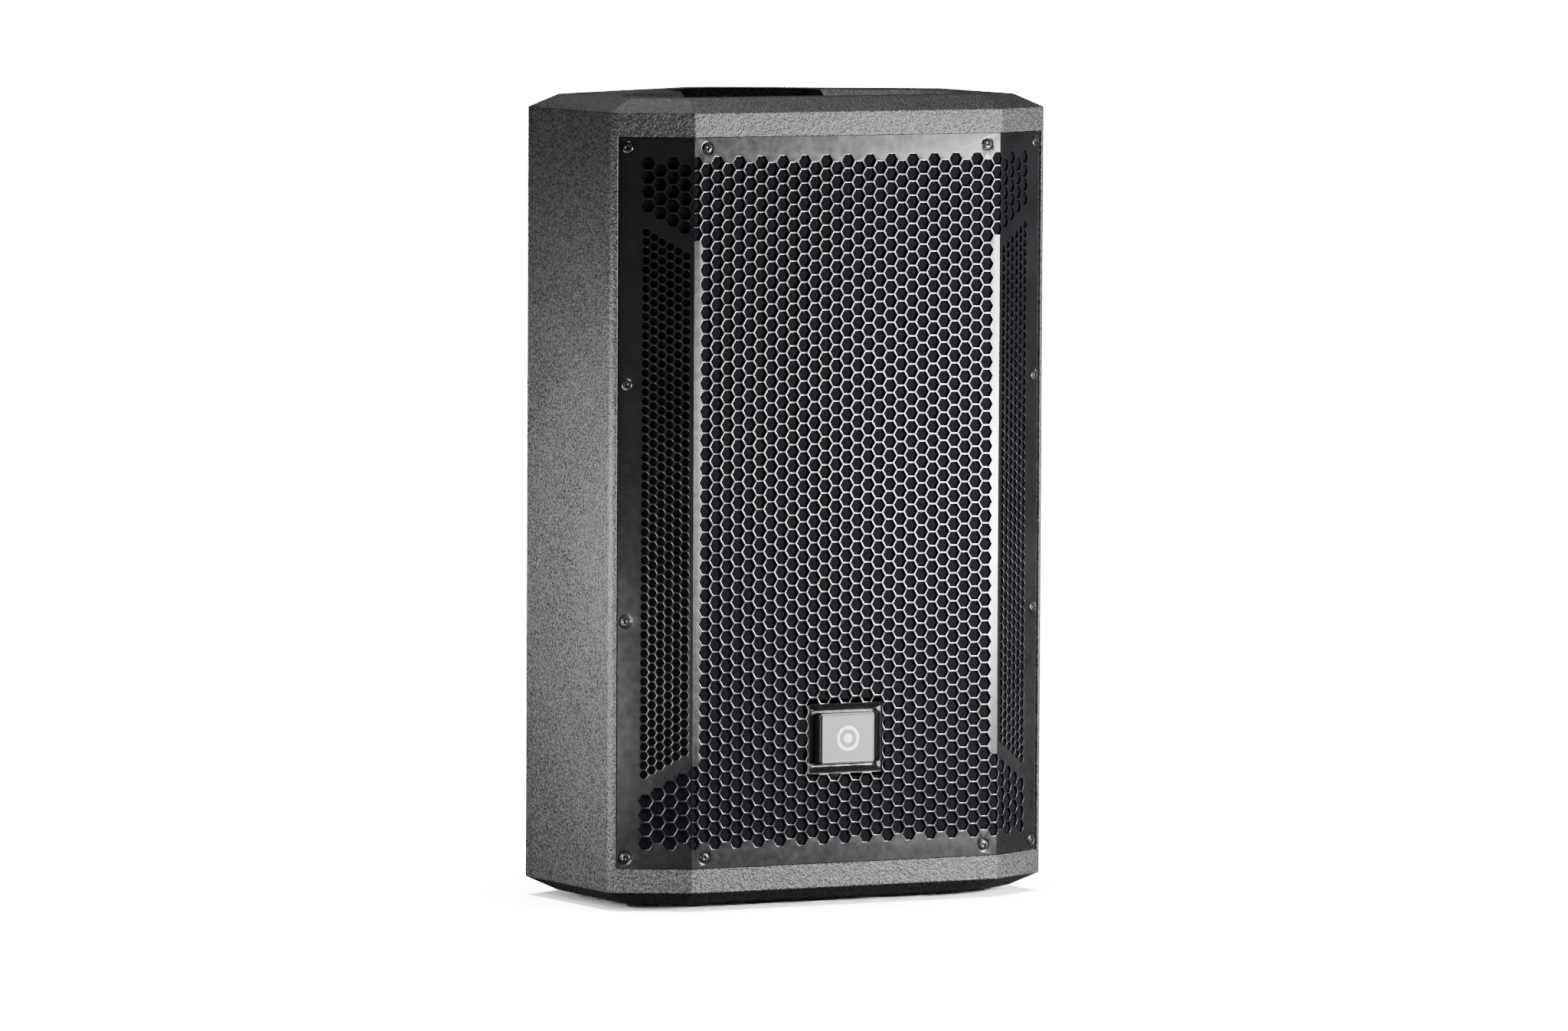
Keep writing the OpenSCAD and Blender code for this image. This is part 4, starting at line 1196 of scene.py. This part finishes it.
# Small softboxes close to the cabinet: azimuth, height and power on the right of the grille,
# and place along the depth, height and power beside the left wall
RIGHT_PANELS = [(34, 0.25, 20.5), (34, 0.42, 1.8), (41, 0.42, 11.8), (34, 0.08, 0.3), (68, 0.08, 2.1)]
RIGHT_DISTANCE = 0.85
RIGHT_SIZE = (0.11, 0.16)
LEFT_PANELS = [(-0.06, 0.30, 2.9), (-0.06, 0.12, 1.2), (-0.38, 0.12, 2.2)]
LEFT_X = -0.46
LEFT_SIZE = (0.14, 0.16)

# Where the softboxes on the right turn to, a little behind the grille
GRILLE_MIDDLE_Y = -0.1

# Name, place, target, size and power of the softboxes further off
FAR_PANELS = [
    ("above", (0, -0.05, 2.2), (0, 0, 0.4), (0.6, 0.6), 19.7),
    ("above_behind", (0, 0.9, 1.9), (0, 0, 0.4), (0.6, 0.6), 4.3),
    ("behind", (0, 1.6, 0.3), (0, 0, 0.3), (0.34, 0.5), 16),
]

# The light from straight above that only the floor takes
FLOOR_LIGHT = 72
FLOOR_LIGHT_ANGLE = math.radians(38)

SKY_COLOUR = (0.96, 0.98, 1.0, 1)
SKY_STRENGTH = 0.04


def softbox(name, position, target, size, power):
    """A rectangular softbox that faces its target and isn't seen itself."""
    data = bpy.data.lights.new(name, "AREA")
    data.shape = "RECTANGLE"
    data.size, data.size_y = size
    data.energy = power
    obj = add_object(name, data)
    obj.location = position
    obj.rotation_euler = (Vector(target) - Vector(position)).to_track_quat("-Z", "Y").to_euler()
    obj.visible_camera = False


def build_floor():
    """A wide pale floor that throws no light back on the cabinet."""
    mesh = bpy.data.meshes.new("floor")
    signs = ((-1, -1), (1, -1), (1, 1), (-1, 1))
    corners = [(x * FLOOR_HALF, y * FLOOR_HALF, 0) for x, y in signs]
    mesh.from_pydata(corners, [], [(0, 1, 2, 3)])
    floor = add_object("floor", mesh)
    finish = Finish("pale_floor", roughness=0.9)
    finish.colour((0.80, 0.80, 0.80), (0.84, 0.84, 0.84), finish.noise(400.0, 3.0), 0, 1)
    mesh.materials.append(finish.material)
    floor.visible_glossy = False
    floor.visible_diffuse = False
    return floor


def build_lights(floor):
    """Softboxes round the cabinet, and a wide light from above for the floor alone."""
    for number, (azimuth, height, power) in enumerate(RIGHT_PANELS):
        a = math.radians(azimuth)
        x, y = RIGHT_DISTANCE * math.sin(a), GRILLE_MIDDLE_Y - RIGHT_DISTANCE * math.cos(a)
        target = (0, GRILLE_MIDDLE_Y, height)
        softbox(f"right_{number}", (x, y, height), target, RIGHT_SIZE, power)
    for number, (y, height, power) in enumerate(LEFT_PANELS):
        softbox(f"left_{number}", (LEFT_X, y, height), (0, y, height), LEFT_SIZE, power)
    for name, position, target, size, power in FAR_PANELS:
        softbox(name, position, target, size, power)
    only_floor = bpy.data.collections.new("lit_from_above")
    only_floor.objects.link(floor)
    sun = add_object("floor_light", bpy.data.lights.new("floor_light", "SUN"))
    sun.data.energy = FLOOR_LIGHT
    sun.data.angle = FLOOR_LIGHT_ANGLE
    sun.light_linking.receiver_collection = only_floor


def build_world():
    """A faint even sky."""
    world = bpy.data.worlds.new("studio")
    bpy.context.scene.world = world
    world.use_nodes = True
    background = world.node_tree.nodes["Background"]
    background.inputs["Color"].default_value = SKY_COLOUR
    background.inputs["Strength"].default_value = SKY_STRENGTH


# ---------- camera ----------

CAMERA_AZIMUTH = math.radians(27.882)
CAMERA_ELEVATION = math.radians(4.081)
CAMERA_ROLL = math.radians(0.286)
CAMERA_DISTANCE = 9.0
CAMERA_TARGET = Vector((-0.0542, -0.135, 0.2965))
CAMERA_LENS = 274.64
CAMERA_SENSOR = 36
CAMERA_CLIP = (0.5, 200)


def build_camera():
    """The camera stands to the left of the grille's axis and looks slightly down."""
    across, ahead = math.sin(CAMERA_AZIMUTH), math.cos(CAMERA_AZIMUTH)
    along_floor = math.cos(CAMERA_ELEVATION)
    forward = Vector((across * along_floor, ahead * along_floor, -math.sin(CAMERA_ELEVATION)))
    level = Vector((ahead, -across, 0))
    above = level.cross(forward)
    right = math.cos(CAMERA_ROLL) * level + math.sin(CAMERA_ROLL) * above
    up = right.cross(forward)
    data = bpy.data.cameras.new("camera")
    data.lens = CAMERA_LENS
    data.sensor_width = CAMERA_SENSOR
    data.clip_start, data.clip_end = CAMERA_CLIP
    camera = add_object("camera", data)
    matrix = Matrix((right, up, -forward)).transposed().to_4x4()
    matrix.translation = CAMERA_TARGET - forward * CAMERA_DISTANCE
    camera.matrix_world = matrix
    bpy.context.scene.camera = camera


# ---------- the scene ----------

build_cabinet()
build_grille()
build_foam()
build_badge()
build_grille_screws()
build_woofer_rings()
dress_cad_nodes()
build_lights(build_floor())
build_world()
build_camera()
